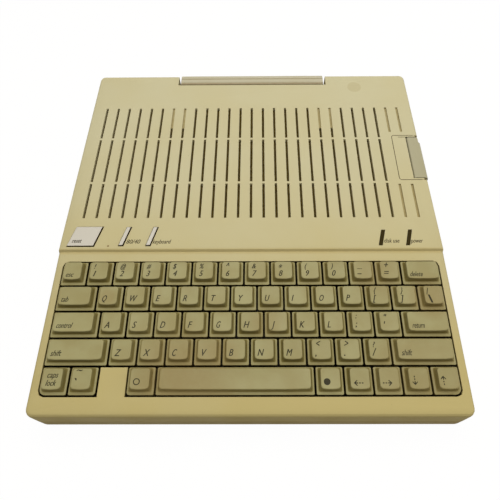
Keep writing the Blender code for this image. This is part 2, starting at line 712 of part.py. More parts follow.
def plate_post_forms():
    """Posts under the key deck, in front of and behind the keys, which hold the keyboard plate."""
    forms = []
    foot = PLATE_TOP + FIT
    for share in PLATE_POST_SPREAD_SHARES:
        for along in (-PLATE_MARGIN_FRONT / 2, FIELD_DEPTH + FIELD_REAR_MARGIN / 2):
            forms.append(prism(circle((share * FIELD_WIDTH, along), PLATE_POST_RADIUS, SMALL_ROD_SIDES),
                               foot, -WALL / 2, key_deck_frame()))
    return forms


def recess_outline(grow):
    """Outline of the drive recess on the vent deck, round at its two inner corners."""
    half = RECESS_LENGTH / 2 + grow
    inner = RECESS_X - grow
    outer = DRIVE_EDGE_X - FIT if grow < 0 else HALF_WIDTH + OVERRUN
    radius = RECESS_CORNER + grow
    rear = circle((inner + radius, half - radius), radius, BEND_POINTS, QUARTER_TURN, QUARTER_TURN)
    front = circle((inner + radius, -half + radius), radius, BEND_POINTS, HALF_TURN, QUARTER_TURN)
    return [(outer, -half), (outer, half)] + rear + front


def drive_frame():
    """Frame on the vent deck at the middle of the drive recess."""
    return vent_deck_frame(along=RECESS_CENTRE)


def cut_drive_openings(shell):
    """Recess for the bezel and door on the deck, and the opening for disks in the side."""
    half = RECESS_LENGTH / 2
    cut(shell, prism(recess_outline(0), -BEZEL_THICKNESS - OVERRUN, OVERRUN, drive_frame()))
    depth = vent_height(drive_centre_y()) - DISK_SLOT_LEVEL
    cut(shell, block((HALF_WIDTH - WALL - OVERRUN, -half, -depth), (HALF_WIDTH + OVERRUN, half, OVERRUN),
                     drive_frame()))
    cut(shell, side_opening(0, HALF_WIDTH - WALL - OVERRUN, HALF_WIDTH + OVERRUN))


def cut_left_openings(shell):
    """Slit for the volume wheel and hole for the sound jack in the left-hand wall."""
    wheel_y = CASE_FRONT + WHEEL_PLACE
    half = WHEEL_RADIUS
    low = WHEEL_LEVEL - WHEEL_SLIT_CLEARANCE
    high = WHEEL_LEVEL + WHEEL_THICKNESS + WHEEL_SLIT_CLEARANCE
    slit = block((-HALF_WIDTH - OVERRUN, wheel_y - half, low),
                 (-HALF_WIDTH + WALL + OVERRUN, wheel_y + half, high))
    hole = rod((CASE_FRONT + JACK_PLACE, WHEEL_LEVEL + WHEEL_THICKNESS / 2), JACK_RADIUS + FIT,
               -HALF_WIDTH - OVERRUN, -HALF_WIDTH + WALL + OVERRUN, "X")
    cut(shell, slit, hole)


def make_lower_case(material):
    """Bottom pan with the port bay across its rear, the handle's lugs and the board's standoffs."""
    pan_corner = PLAN_RADIUS
    outer_rings = [plan_ring(BELLY_CHAMFER, lambda y: BELLY_HEIGHT, pan_corner - BELLY_CHAMFER),
                   plan_ring(0, lambda y: BELLY_HEIGHT + BELLY_CHAMFER, pan_corner),
                   plan_ring(0, lambda y: SEAM_HEIGHT, pan_corner)]
    inner_corner = max(PLAN_RADIUS - WALL, WALL)
    inner_rings = [plan_ring(WALL + BELLY_CHAMFER, lambda y: FLOOR_TOP, inner_corner),
                   plan_ring(WALL, lambda y: FLOOR_TOP + BELLY_CHAMFER, inner_corner),
                   plan_ring(WALL, lambda y: SEAM_HEIGHT + OVERRUN, inner_corner)]
    pan = make_object("lower_case", make_mesh("lower_case", *loft(outer_rings)), material)
    bay_half = BAY_WIDTH / 2
    cut(pan, block((-bay_half + WALL, BAY_FRONT, 0), (bay_half - WALL, CASE_REAR + OVERRUN, BAY_TOP)))
    hollow = make_object("hollow", make_mesh("hollow", *loft(inner_rings)))
    cut(hollow, block((-bay_half, BAY_FRONT - WALL, 0), (bay_half, CASE_REAR + OVERRUN, BAY_TOP)))
    hollow_points = [v.co.copy() for v in hollow.data.vertices]
    hollow_faces = [tuple(p.vertices) for p in hollow.data.polygons]
    cut(pan, (hollow_points, hollow_faces))
    bpy.data.objects.remove(hollow)
    unite(pan, *port_bay_forms(), *standoff_forms(), *rocker_cheek_forms(), *handle_lug_forms())
    cut(pan, *port_cutters())
    cut(pan, rod(HANDLE_PIVOT.yz, HANDLE_PIN_RADIUS + FIT, -NOTCH_HALF - HANDLE_LUG - OVERRUN,
                 NOTCH_HALF + HANDLE_LUG + OVERRUN, "X"))
    cut(pan, rod(rocker_axis().yz, ROCKER_PIN_RADIUS + FIT, ROCKER_X - ROCKER_WIDTH,
                 ROCKER_X + ROCKER_WIDTH, "X", SMALL_ROD_SIDES))
    cut(pan, *[rod(place, FOOT_RADIUS + FIT, 0, BELLY_HEIGHT + FOOT_SEAT_DEPTH, "Z", FOOT_SIDES)
               for place in foot_places().values()])
    cut(pan, *floor_vent_cutters(), *screw_well_cutters())


def port_bay_forms():
    """Back panel, end walls and the two shelves over the ports."""
    half = BAY_WIDTH / 2
    rear = CASE_REAR - FIT
    base = BELLY_HEIGHT + WALL
    shelf = BAY_TOP - WALL
    return [
        block((-half, BAY_FRONT - WALL, base), (half, BAY_FRONT, BAY_TOP)),
        block((-half, BAY_FRONT - WALL / 2, base), (-half + WALL, rear, BAY_TOP)),
        block((half - WALL, BAY_FRONT - WALL / 2, base), (half, rear, BAY_TOP)),
        block((-half + WALL / 2, BAY_FRONT - WALL / 2, shelf), (-NOTCH_HALF, rear, BAY_TOP)),
        block((NOTCH_HALF, BAY_FRONT - WALL / 2, shelf), (half - WALL / 2, rear, BAY_TOP)),
    ]


def board_edges():
    """Left, front, right and rear edges of the main board."""
    edge = HALF_WIDTH - WALL - BOARD_MARGIN
    return -edge, CASE_FRONT + BOARD_FRONT, edge, BAY_FRONT - WALL - FIT


def standoff_places():
    """Middle of each standoff, three across the case by three along it."""
    left, front, right, rear = board_edges()
    return [(x, y) for x in (left + STANDOFF_INSET, (left + right) / 2, right - STANDOFF_INSET)
            for y in (front + STANDOFF_INSET, (front + rear) / 2, rear - STANDOFF_INSET)]


def standoff_forms():
    """Posts on the floor that carry the main board."""
    return [rod(place, STANDOFF_RADIUS, FLOOR_TOP - WELD, BOARD_LEVEL - FIT, "Z", POST_SIDES)
            for place in standoff_places()]


def screw_well_cutters():
    """Wells that run up from below into the front and rear standoffs, for the case screws."""
    middle = standoff_places()[1][1]
    top = BOARD_LEVEL - FIT - SCREW_WELL_ROOF
    return [rod(place, SCREW_WELL_RADIUS, 0, top, "Z", POST_SIDES)
            for place in standoff_places() if place[1] != middle]


def floor_vent_cutters():
    """Slots through the floor under the drive and the power converter."""
    cutters = []
    y = CASE_FRONT + FLOOR_VENT_PLACE
    for side in (-1, 1):
        for column in range(FLOOR_VENT_COUNT):
            x = side * FLOOR_VENT_X + (column - (FLOOR_VENT_COUNT - 1) / 2) * FLOOR_VENT_PITCH
            cutters.append(block((x - FLOOR_VENT_WIDTH / 2, y - FLOOR_VENT_LENGTH / 2, 0),
                                 (x + FLOOR_VENT_WIDTH / 2, y + FLOOR_VENT_LENGTH / 2,
                                  FLOOR_TOP + FIT)))
    return cutters


def rocker_axis():
    """Middle of the power rocker's pins, behind the port panel's face."""
    return Vector((ROCKER_X, BAY_FRONT - WALL, PORT_LEVEL))


def rocker_cheek_forms():
    """Two cheeks inside the port panel that hold the rocker's pins."""
    axis = rocker_axis()
    start = ROCKER_WIDTH / 2 + FIT
    drop = ROCKER_HEIGHT / 2
    forms = []
    for side in (-1, 1):
        near, far = sorted((axis.x + side * start, axis.x + side * (start + ROCKER_CHEEK)))
        forms.append(block((near, axis.y - ROCKER_DEPTH / 2, axis.z - drop),
                           (far, BAY_FRONT - WELD, axis.z + drop)))
    return forms


def handle_lug_forms():
    """Lugs behind the port panel on which the handle swings."""
    forms = []
    base = BELLY_HEIGHT
    for side in (-1, 1):
        near, far = sorted((side * NOTCH_HALF, side * (NOTCH_HALF + HANDLE_LUG)))
        pivot = HANDLE_PIVOT
        front = BAY_FRONT - WALL / 2
        nose = circle((pivot.y, pivot.z), HANDLE_LUG_RADIUS, HANDLE_ROUND_POINTS, -QUARTER_TURN, HALF_TURN)
        outline = [(front, base), (pivot.y, base)] + nose[1:] + [(front, pivot.z + HANDLE_LUG_RADIUS)]
        forms.append(side_prism(outline, near, far))
    return forms


def side_prism(outline, start, end, frame=Matrix.Identity(4)):
    """Closed prism over an outline in a frame's Y and Z, between two places along its X."""
    return loft([[(start, y, z) for y, z in outline], [(end, y, z) for y, z in outline]], frame)


def slope_prism(outline, start, end, frame=Matrix.Identity(4)):
    """Closed prism over an outline in a frame's X and Z, between two places along its Y."""
    return loft([[(x, start, z) for x, z in outline], [(x, end, z) for x, z in outline]], frame)


def d_outline(centre_x, width, height, grow=0.0):
    """Outline in X and Z of a socket whose short sides lean in towards its foot."""
    half = width / 2 + grow
    rise = height / 2 + grow
    lean = height * math.tan(D_PORT_TAPER_ANGLE)
    return [(centre_x - half + lean, -rise), (centre_x + half - lean, -rise),
            (centre_x + half, rise), (centre_x - half, rise)]


def port_prism(outline, start, end):
    """Closed prism over a port's outline in X and Z, between two places along Y."""
    return slope_prism(outline, start, end, Matrix.Translation((0, 0, PORT_LEVEL)))


def port_outlines(grow):
    """Outline of each port by name."""
    outlines = {name: d_outline(x, width, D_PORT_HEIGHT, grow) for name, x, width in D_PORTS}
    for name, x, radius in ROUND_PORTS:
        outlines[name] = circle((x, 0), radius + grow, ROUND_PORT_SIDES)
    outlines["video_jack"] = circle((VIDEO_JACK_X, 0), VIDEO_JACK_RADIUS + grow, ROUND_PORT_SIDES)
    return outlines


def port_cutters():
    """Holes in the port panel for the sockets and the rocker."""
    start, end = BAY_FRONT - WALL - OVERRUN, BAY_FRONT + OVERRUN
    cutters = [port_prism(outline, start, end) for outline in port_outlines(FIT).values()]
    half_width = ROCKER_WIDTH / 2 + FIT
    half_height = ROCKER_HEIGHT / 2 + ROCKER_SWING_CLEARANCE
    cutters.append(block((ROCKER_X - half_width, start, PORT_LEVEL - half_height),
                         (ROCKER_X + half_width, end, PORT_LEVEL + half_height)))
    return cutters


def foot_places():
    """Middle of each foot by name."""
    x = HALF_WIDTH - FOOT_INSET_X
    front = CASE_FRONT + FOOT_INSET_Y
    rear = CASE_REAR - BAY_DEPTH - FOOT_INSET_Y
    return {"foot_front_left": (-x, front), "foot_front_right": (x, front),
            "foot_rear_left": (-x, rear), "foot_rear_right": (x, rear)}


def make_feet(material):
    """Four rubber feet, each seated in a shallow pocket of the bottom pan."""
    for name, place in foot_places().items():
        form = rod((0, 0), FOOT_RADIUS, 0, BELLY_HEIGHT + FOOT_SEAT_DEPTH - FIT, "Z", FOOT_SIDES)
        foot = make_object(name, make_mesh(name, *form), material)
        foot.location = (*place, 0)


def handle_grip_plan():
    """Outline of the handle's grip in plan, round at its two rear corners."""
    half = HANDLE_WIDTH / 2
    front = BAY_FRONT + HANDLE_FRONT_GAP
    near = half - HANDLE_CORNER
    centre_y = CASE_REAR + HANDLE_REACH - HANDLE_CORNER
    outline = [(-half, front), (half, front)]
    outline += circle((near, centre_y), HANDLE_CORNER, BEND_POINTS, 0, QUARTER_TURN)
    return outline + circle((-near, centre_y), HANDLE_CORNER, BEND_POINTS, QUARTER_TURN, QUARTER_TURN)


def make_carry_handle(material):
    """Handle that stands flush behind the vent deck and swings back and down to prop the case up."""
    half = HANDLE_WIDTH / 2
    front = BAY_FRONT + HANDLE_FRONT_GAP
    rear = CASE_REAR + HANDLE_REACH
    middle = (front + rear) / 2
    grip_foot = REAR_HEIGHT - HANDLE_GRIP
    crown = vent_height(rear) - HANDLE_CROWN_FALL
    profile = [(front - OVERRUN, grip_foot), (rear, grip_foot)]
    profile += circle((rear - HANDLE_RADIUS, crown - HANDLE_RADIUS), HANDLE_RADIUS, BEND_POINTS, 0,
                      QUARTER_TURN)
    profile += [(middle, vent_height(middle)), (front - OVERRUN, vent_height(front - OVERRUN))]
    grip = side_prism(profile, -half - OVERRUN, half + OVERRUN)
    handle = make_object("carry_handle", make_mesh("carry_handle", *grip), material)
    combine(handle, [prism(handle_grip_plan(), grip_foot - OVERRUN, REAR_HEIGHT + OVERRUN)], "INTERSECT")
    pivot = HANDLE_PIVOT
    arms = []
    for side in (-1, 1):
        near, far = sorted((side * half, side * (half - HANDLE_ARM)))
        eye = circle((pivot.y, pivot.z), HANDLE_EYE_RADIUS, HANDLE_ROUND_POINTS, HALF_TURN, HALF_TURN)
        reach = grip_foot + WELD
        arm = eye + [(rear - HANDLE_REACH / 2, reach), (front + HANDLE_REACH / 2, reach)]
        arms.append(side_prism(arm, near, far))
        near, far = sorted((side * (half - WELD), side * (NOTCH_HALF + HANDLE_PIN_LENGTH)))
        arms.append(rod(pivot.yz, HANDLE_PIN_RADIUS, near, far, "X"))
    unite(handle, *arms)
    move_origin(handle, pivot)


def cap_ring(base, side, front, rear, corner, height, cut_corners=()):
    """Eight-sided ring of a keycap, drawn in from its base by side, front and rear margins."""
    x0, y0, x1, y1 = base
    low_x, high_x, low_y, high_y = x0 + side, x1 - side, y0 + front, y1 - rear
    sizes = {place: corner for place in ("front_right", "rear_right", "rear_left", "front_left")}
    for place in cut_corners:
        sizes[place] = max(WELL_CORNER - side, corner)
    a, b, c, d = (sizes[p] for p in ("front_right", "rear_right", "rear_left", "front_left"))
    flat = [(high_x - a, low_y), (high_x, low_y + a), (high_x, high_y - b), (high_x - b, high_y),
            (low_x + c, high_y), (low_x, high_y - c), (low_x, low_y + d), (low_x + d, low_y)]
    return [(x, y, height) for x, y in flat]


def hollow_ring(base, side, front, rear, height, cut_corners=()):
    """Four-sided ring inside a keycap, whose corners keep a wall to the well's round corners."""
    x0, y0, x1, y1 = base
    ring = []
    corners = (("front_right", x1, y0, -1, 1), ("rear_right", x1, y1, -1, -1),
               ("rear_left", x0, y1, 1, -1), ("front_left", x0, y0, 1, 1))
    for place, x, y, way_x, way_y in corners:
        margin = front if way_y > 0 else rear
        round_margin = (WELL_CORNER + side * math.sqrt(2)) / 2 if place in cut_corners else 0
        ring.append((x + way_x * max(side, round_margin), y + way_y * max(margin, round_margin), height))
    return ring


def keycap_form(base, cut_corners, stem_foot):
    """Hollow keycap with a shelf round a raised, dished pad, and a stem down to its switch.

    The pad's front edge is bowed towards the typist, between two points beside its corners.
    """
    skirt = -CAP_RIM_TO_SKIRT
    shelf = CAP_RIM_HEIGHT + CAP_SHELF_RISE
    pad = CAP_RIM_HEIGHT + CAP_PAD_RISE
    roof = pad - CAP_ROOF
    rings = [
        cap_ring(base, 0, 0, 0, CAP_CORNER, skirt, cut_corners),
        cap_ring(base, 0, 0, 0, CAP_CORNER, CAP_RIM_HEIGHT, cut_corners),
        cap_ring(base, CAP_SHELF_WIDTH, CAP_SHELF_FRONT_WIDTH, CAP_PAD_REAR_MARGIN / 2, CAP_CORNER, shelf,
                 cut_corners),
        cap_ring(base, CAP_PAD_SIDE_MARGIN, CAP_PAD_FRONT_MARGIN, CAP_PAD_REAR_MARGIN, CAP_PAD_CORNER,
                 pad, cut_corners),
    ]
    count = len(rings[0])
    points = [Vector(p) for ring in rings for p in ring]
    faces = []
    for base_point in range(0, (len(rings) - 1) * count, count):
        for i in range(count):
            j = (i + 1) % count
            faces.append((base_point + i, base_point + j, base_point + count + j, base_point + count + i))
    faces.pop()
    pad_right, pad_left = len(points) - count, len(points) - 1
    shelf_right, shelf_left = pad_right - count, pad_left - count
    bow_left, bow_right, centre = range(len(points), len(points) + 3)
    for corner, way in ((pad_left, 1), (pad_right, -1)):
        points.append(points[corner] + Vector((way * CAP_PAD_BOW_RUN, -CAP_PAD_BOW, 0)))
    middle_x, middle_y = (base[0] + base[2]) / 2, (base[1] + base[3]) / 2
    pad_middle = (CAP_PAD_FRONT_MARGIN - CAP_PAD_REAR_MARGIN) / 2
    points.append(Vector((middle_x, middle_y + pad_middle, pad - CAP_DISH)))
    faces += [(shelf_left, shelf_right, bow_right, bow_left), (shelf_left, bow_left, pad_left),
              (shelf_right, pad_right, bow_right)]
    pad_edge = [*range(pad_right, pad_left + 1), bow_left, bow_right]
    for i, point in enumerate(pad_edge):
        faces.append((point, pad_edge[(i + 1) % len(pad_edge)], centre))
    stem = (middle_x - STEM_WIDTH / 2, middle_y - STEM_WIDTH / 2,
            middle_x + STEM_WIDTH / 2, middle_y + STEM_WIDTH / 2)
    hollow = [
        hollow_ring(base, CAP_WALL, CAP_WALL, CAP_WALL, skirt, cut_corners),
        hollow_ring(base, CAP_PAD_SIDE_MARGIN + CAP_WALL, CAP_PAD_FRONT_MARGIN + CAP_WALL,
                    CAP_PAD_REAR_MARGIN + CAP_WALL, roof),
        hollow_ring(stem, 0, 0, 0, roof),
        hollow_ring(stem, 0, 0, 0, stem_foot),
    ]
    start = len(points)
    points += [Vector(p) for ring in hollow for p in ring]
    for i in range(STEM_CORNERS):
        j = (i + 1) % STEM_CORNERS
        faces.append((2 * i, 2 * i + 1, start + i))
        faces.append((2 * i + 1, 2 * j, start + j, start + i))
        for level in range(len(hollow) - 1):
            low = start + level * STEM_CORNERS
            high = low + STEM_CORNERS
            faces.append((low + i, low + j, high + j, high + i))
    faces.append(tuple(range(len(points) - STEM_CORNERS, len(points))))
    return points, faces


def well_corners(row_index, is_first, is_last):
    """Which corners of a key follow the rounded corners of the well."""
    corners = []
    if row_index == 0 and is_first:
        corners.append("front_left")
    if row_index == 0 and is_last:
        corners.append("front_right")
    if row_index == ROW_COUNT - 1 and is_first:
        corners.append("rear_left")
    if row_index == ROW_COUNT - 1 and is_last:
        corners.append("rear_right")
    return corners


def key_places():
    """Each key with its row, the middle of its base on the field, its width and its round corners."""
    for row_index, row in enumerate(KEY_ROWS):
        start = -FIELD_PITCHES / 2
        for place, (name, pitches) in enumerate(row):
            if name is not None:
                x = (start + pitches / 2) * KEY_PITCH
                along = (row_index + 1 / 2) * KEY_PITCH
                corners = well_corners(row_index, place == 0, place == len(row) - 1)
                yield row, name, x, along, pitches, corners
            start += pitches


def key_slides(row, name):
    """Whether a key is a piece of its own that slides, rather than one moulded with the plate."""
    return row in ROWS_THAT_SLIDE or name == "space"


def make_keyboard(plate_material, key_material):
    """Switch plate with the keys that are moulded with it, and the keys that slide."""
    half = FIELD_WIDTH / 2 + PLATE_MARGIN_SIDE
    plate_low, plate_high = PLATE_TOP - PLATE_THICKNESS, PLATE_TOP
    form = block((-half, -PLATE_MARGIN_FRONT, plate_low),
                 (half, FIELD_DEPTH + PLATE_MARGIN_REAR, plate_high), key_deck_frame())
    plate = make_object("keyboard_plate", make_mesh("keyboard_plate", *form), plate_material)
    fixed_caps, housings, bores = [], [], []
    for row, name, x, along, pitches, corners in key_places():
        frame = key_deck_frame(x, along)
        half_x = (pitches * KEY_PITCH - KEY_GAP) / 2
        half_y = (KEY_PITCH - KEY_GAP) / 2
        base = (-half_x, -half_y, half_x, half_y)
        if not key_slides(row, name):
            points, faces = keycap_form(base, corners, plate_high - PLATE_THICKNESS / 2)
            fixed_caps.append(([frame @ p for p in points], faces))
            continue
        key = make_object("key_" + name, make_mesh("key_" + name, *keycap_form(base, corners, STEM_FOOT)),
                          key_material)
        key.matrix_world = frame
        bore = STEM_WIDTH / 2 + FIT
        wall = bore + SWITCH_WALL
        housings.append(block((-wall, -wall, plate_high - PLATE_THICKNESS / 2), (wall, wall, SWITCH_TOP),
                              frame))
        bores.append(block((-bore, -bore, STEM_FOOT - KEY_TRAVEL - FIT), (bore, bore, SWITCH_TOP + OVERRUN),
                           frame))
    combine(plate, fixed_caps + housings, "UNION")
    cut(plate, *bores)


def make_button(name, material):
    """Slanted push button with a flange under the deck that stops it from coming out."""
    x, along, width, length = control_places()[name]
    frame = vent_deck_frame(x, along)
    flange_top = -WALL / math.cos(VENT_SLOPE_ANGLE) - FIT - (shell_height_drop() - WALL)
    outline = slanted_rectangle(0, 0, width, length)
    button = make_object(name, make_mesh(name, *prism(outline, flange_top - WELD, BUTTON_STAND)), material)
    flange = slanted_rectangle(0, 0, width, length, BUTTON_FLANGE)
    unite(button, prism(flange, flange_top - BUTTON_FLANGE_DEPTH, flange_top),
          prism(slanted_rectangle(0, 0, width / 2, length / 2), -BUTTON_DEPTH, flange_top - WELD))
    button.matrix_world = frame


def make_lamp(name, material):
    """Slanted light bar that fills its hole in the deck almost to the top."""
    x, along, width, length = control_places()[name]
    outline = slanted_rectangle(0, 0, width, length)
    lamp = make_object(name, make_mesh(name, *prism(outline, -LAMP_DEPTH, -LAMP_SINK)), material)
    lamp.matrix_world = vent_deck_frame(x, along)


def make_drive_bezel(material):
    """Bezel that fills the recess, with ears for the door's pins and a plate with the disk slot."""
    frame = drive_frame()
    half = RECESS_LENGTH / 2 - FIT
    panel = prism(recess_outline(-FIT), -BEZEL_THICKNESS, 0, frame)
    bezel = make_object("drive_bezel", make_mesh("drive_bezel", *panel), material)
    cut(bezel, deck_edge_cutter(DRIVE_EDGE_X - FIT, frame))
    pocket = DOOR_AXIS_X - DOOR_THICKNESS / 2 - BARREL_CLEARANCE
    ear_inner = half - BEZEL_EAR
    plate_inner = side_plate_x(SIDE_PLATE_TOP) - SIDE_PLATE_THICKNESS
    opening_top = DISK_SLOT_LEVEL + SIDE_OPENING_HEIGHT / 2
    ear_foot = -BEZEL_THICKNESS - DOOR_THICKNESS / 2
    leg_set_in = FIT + BEZEL_LEG_SET_IN
    leg_feet = {side: opening_top - (frame @ Vector((0, side * half, 0))).z for side in (-1, 1)}
    for side, foot in leg_feet.items():
        outline = [(pocket - WELD, ear_foot), (plate_inner + WELD, ear_foot), (plate_inner + WELD, foot),
                   (drive_wall_x(foot) - leg_set_in, foot),
                   (drive_wall_x(-EDGE_RADIUS) - leg_set_in, -EDGE_RADIUS),
                   (DRIVE_EDGE_X - EDGE_RADIUS, -WELD), (pocket - WELD, -WELD)]
        near, far = sorted((side * (ear_inner - WELD), side * (half - BEZEL_LEG_SET_IN)))
        unite(bezel, slope_prism(outline, near, far, frame))
    cut(bezel, block((pocket, -ear_inner, min(leg_feet.values()) - OVERRUN),
                     (HALF_WIDTH + OVERRUN, ear_inner, OVERRUN), frame))
    groove_front = ear_inner - DOOR_END_GAP
    cut(bezel, block((RECESS_X + BEZEL_GROOVE_START, groove_front, -BEZEL_GROOVE_DEPTH),
                     (pocket + OVERRUN, groove_front + BEZEL_GROOVE_WIDTH, OVERRUN), frame))
    middle = drive_centre_y()
    plate_half = SIDE_OPENING_LENGTH / 2 + SIDE_PLATE_LAP
    low, high = side_plate_x(SIDE_PLATE_FOOT), side_plate_x(SIDE_PLATE_TOP)
    plate = [(low - SIDE_PLATE_THICKNESS, SIDE_PLATE_FOOT), (low, SIDE_PLATE_FOOT),
             (high, SIDE_PLATE_TOP), (high - SIDE_PLATE_THICKNESS, SIDE_PLATE_TOP)]
    unite(bezel, slope_prism(plate, middle - plate_half, middle + plate_half))
    cut(bezel, disk_slot(plate_inner - OVERRUN, HALF_WIDTH + OVERRUN))
    hole = circle((DOOR_AXIS_X, door_axis_height()), DOOR_PIN_RADIUS + FIT, SMALL_ROD_SIDES)
    cut(bezel, slope_prism(hole, -half - OVERRUN, half + OVERRUN, frame))


def deck_edge_cutter(outer, frame):
    """Space outside the round edge that the deck has where it meets the right-hand wall."""
    inner = outer - EDGE_RADIUS
    half = RECESS_LENGTH / 2 + OVERRUN
    outline = circle((inner, -EDGE_RADIUS), EDGE_RADIUS, BEND_POINTS, QUARTER_TURN, -QUARTER_TURN)
    outline += [(outer + OVERRUN, -EDGE_RADIUS), (outer + OVERRUN, OVERRUN), (inner, OVERRUN)]
    return slope_prism(outline, -half, half, frame)


def side_plate_x(height):
    """Outer face of the bezel's side plate at a height, one clearance inside the leaning wall."""
    return half_width_at(height) - WALL - FIT


def drive_wall_x(out):
    """Outer face of the right-hand wall beside the drive, by its height over the vent deck."""
    return DRIVE_EDGE_X - out * math.tan(SIDE_DRAFT_ANGLE)


def door_axis_height():
    """Height of the door's hinge axis over the vent deck, inside the deck."""
    return -DOOR_THICKNESS / 2


def disk_slot(start, end):
    """Space that a disk slides through, level with the drive's tunnel."""
    middle = drive_centre_y()
    half = DISK_SLOT_LENGTH / 2
    return block((start, middle - half, DISK_SLOT_LEVEL - DISK_SLOT_HEIGHT / 2),
                 (end, middle + half, DISK_SLOT_LEVEL + DISK_SLOT_HEIGHT / 2))


def make_drive_door(material):
    """Door over the disk slot, bent over the case edge and hinged along its inner barrel.

    A lip stands out from the wall for the finger, except near the door's rear end.
    """
    frame = drive_frame()
    barrel_radius = DOOR_THICKNESS / 2
    axis_x, axis_out = DOOR_AXIS_X, door_axis_height()
    barrel = circle((axis_x, axis_out), barrel_radius, DOOR_BARREL_POINTS, QUARTER_TURN, HALF_TURN)
    foot = DISK_SLOT_LEVEL - DISK_SLOT_HEIGHT / 2 - DOOR_SLOT_LAP - vent_height(drive_centre_y())
    half = RECESS_LENGTH / 2 - FIT - BEZEL_EAR - DOOR_END_GAP
    inner_head = drive_wall_x(-DOOR_THICKNESS) - DOOR_PANEL_THICKNESS
    inner_foot = drive_wall_x(foot) - DOOR_PANEL_THICKNESS
    inside = barrel + [(inner_head, -DOOR_THICKNESS), (inner_foot, foot)]
    flush = inside + [(drive_wall_x(foot), foot)] + door_shoulder(0)
    lipped = inside + [(drive_wall_x(foot) + DOOR_LIP_REACH, foot)] + door_shoulder(DOOR_LIP_REACH)
    door = make_object("drive_door", make_mesh("drive_door", *slope_prism(flush, -half, half)), material)
    unite(door, slope_prism(lipped, -half, half - DOOR_LIP_SET_BACK))
    for side in (-1, 1):
        near, far = sorted((side * (half - WELD), side * (half + DOOR_PIN_LENGTH)))
        unite(door, slope_prism(circle((axis_x, axis_out), DOOR_PIN_RADIUS, SMALL_ROD_SIDES), near, far))
    door.data.transform(Matrix.Translation((-axis_x, 0, -axis_out)))
    door.matrix_world = frame @ Matrix.Translation((axis_x, 0, axis_out))


def door_shoulder(reach):
    """Round edge of the door between its top and its outer face, which reaches past the wall."""
    outer = drive_wall_x(-EDGE_RADIUS) + reach
    return circle((outer - EDGE_RADIUS, -EDGE_RADIUS), EDGE_RADIUS, BEND_POINTS, 0, QUARTER_TURN)


def drive_front():
    """Front face of the drive, one clearance behind the bezel's side plate."""
    return side_plate_x(SIDE_PLATE_TOP) - SIDE_PLATE_THICKNESS - FIT


def make_disk_drive(material):
    """Drive with a tunnel for the disk, rails under it and cooling ribs across its lid."""
    front = drive_front()
    middle = drive_centre_y()
    half = DRIVE_BREADTH / 2
    back = front - DRIVE_LENGTH
    top = vent_height(middle - half) - LAMP_DEPTH - DRIVE_HEADROOM
    drive = make_object("disk_drive", make_mesh("disk_drive", *block((back, middle - half, DRIVE_LEVEL),
                                                                     (front, middle + half, top))),
                        material)
    rail_foot = BOARD_TOP + FIT
    rail_low, rail_high = back + DRIVE_RAIL_WIDTH, front - DRIVE_RAIL_WIDTH
    unite(drive, *[block((rail_low, y, rail_foot), (rail_high, y + DRIVE_RAIL_WIDTH, DRIVE_LEVEL + WELD))
                   for y in (middle - half + WELD, middle + half - DRIVE_RAIL_WIDTH - WELD)])
    cut(drive, disk_slot(front - DRIVE_TUNNEL_DEPTH, front + OVERRUN))
    ribs = []
    count = int((DRIVE_LENGTH - DRIVE_RIB_PITCH) / DRIVE_RIB_PITCH)
    for i in range(count):
        x = back + (i + 1) * DRIVE_RIB_PITCH
        ribs.append(block((x, middle - half + DRIVE_RIB_PITCH, top - DRIVE_RIB_DEPTH),
                          (x + DRIVE_RIB_WIDTH, middle + half - DRIVE_RIB_PITCH, top + OVERRUN)))
    cut(drive, *ribs)


def chip_forms():
    """Chips in rows on the part of the board that lies under the keys."""
    left, front, right, _ = board_edges()
    low, high = BOARD_TOP - WELD, BOARD_TOP + CHIP_HEIGHT
    forms = []
    columns = int((right - left) / CHIP_PITCH_X)
    for row in range(CHIP_ROWS):
        y = front + CHIP_WIDTH + row * CHIP_PITCH_Y
        for column in range(1, columns - 1):
            x = left + (column + 1 / 2) * CHIP_PITCH_X
            forms.append(block((x, y, low), (x + CHIP_LENGTH, y + CHIP_WIDTH, high)))
    y = front + CHIP_WIDTH + CHIP_ROWS * CHIP_PITCH_Y
    for share in LARGE_CHIP_SPREAD_SHARES:
        x = left + share * (right - left)
        forms.append(block((x, y, low), (x + LARGE_CHIP_LENGTH, y + LARGE_CHIP_WIDTH, high)))
    return forms


def port_body_forms():
    """Sockets on the rear edge of the board, each a block with a shell that reaches the panel."""
    forms = []
    face = BAY_FRONT + PORT_REACH
    panel = BAY_FRONT - WALL - FIT
    for outline in port_outlines(0).values():
        xs = [x for x, _ in outline]
        zs = [z for _, z in outline]
        forms.append(block((min(xs), panel - PORT_BODY_DEPTH, BOARD_TOP - WELD),
                           (max(xs), panel, PORT_LEVEL + max(zs))))
        forms.append(port_prism(outline, panel - WELD, face))
    return forms


def port_hollows():
    """Hollow of each socket, and the ring round the video jack's pin."""
    face = BAY_FRONT + PORT_REACH
    start = face - PORT_HOLLOW
    outlines = port_outlines(-PORT_WALL)
    hollows = [port_prism(outline, start, face + OVERRUN)
               for name, outline in outlines.items() if name != "video_jack"]
    hollows.append(port_prism(circle((VIDEO_JACK_X, 0), VIDEO_JACK_RADIUS / 2, SMALL_ROD_SIDES), start,
                              face + OVERRUN))
    return hollows


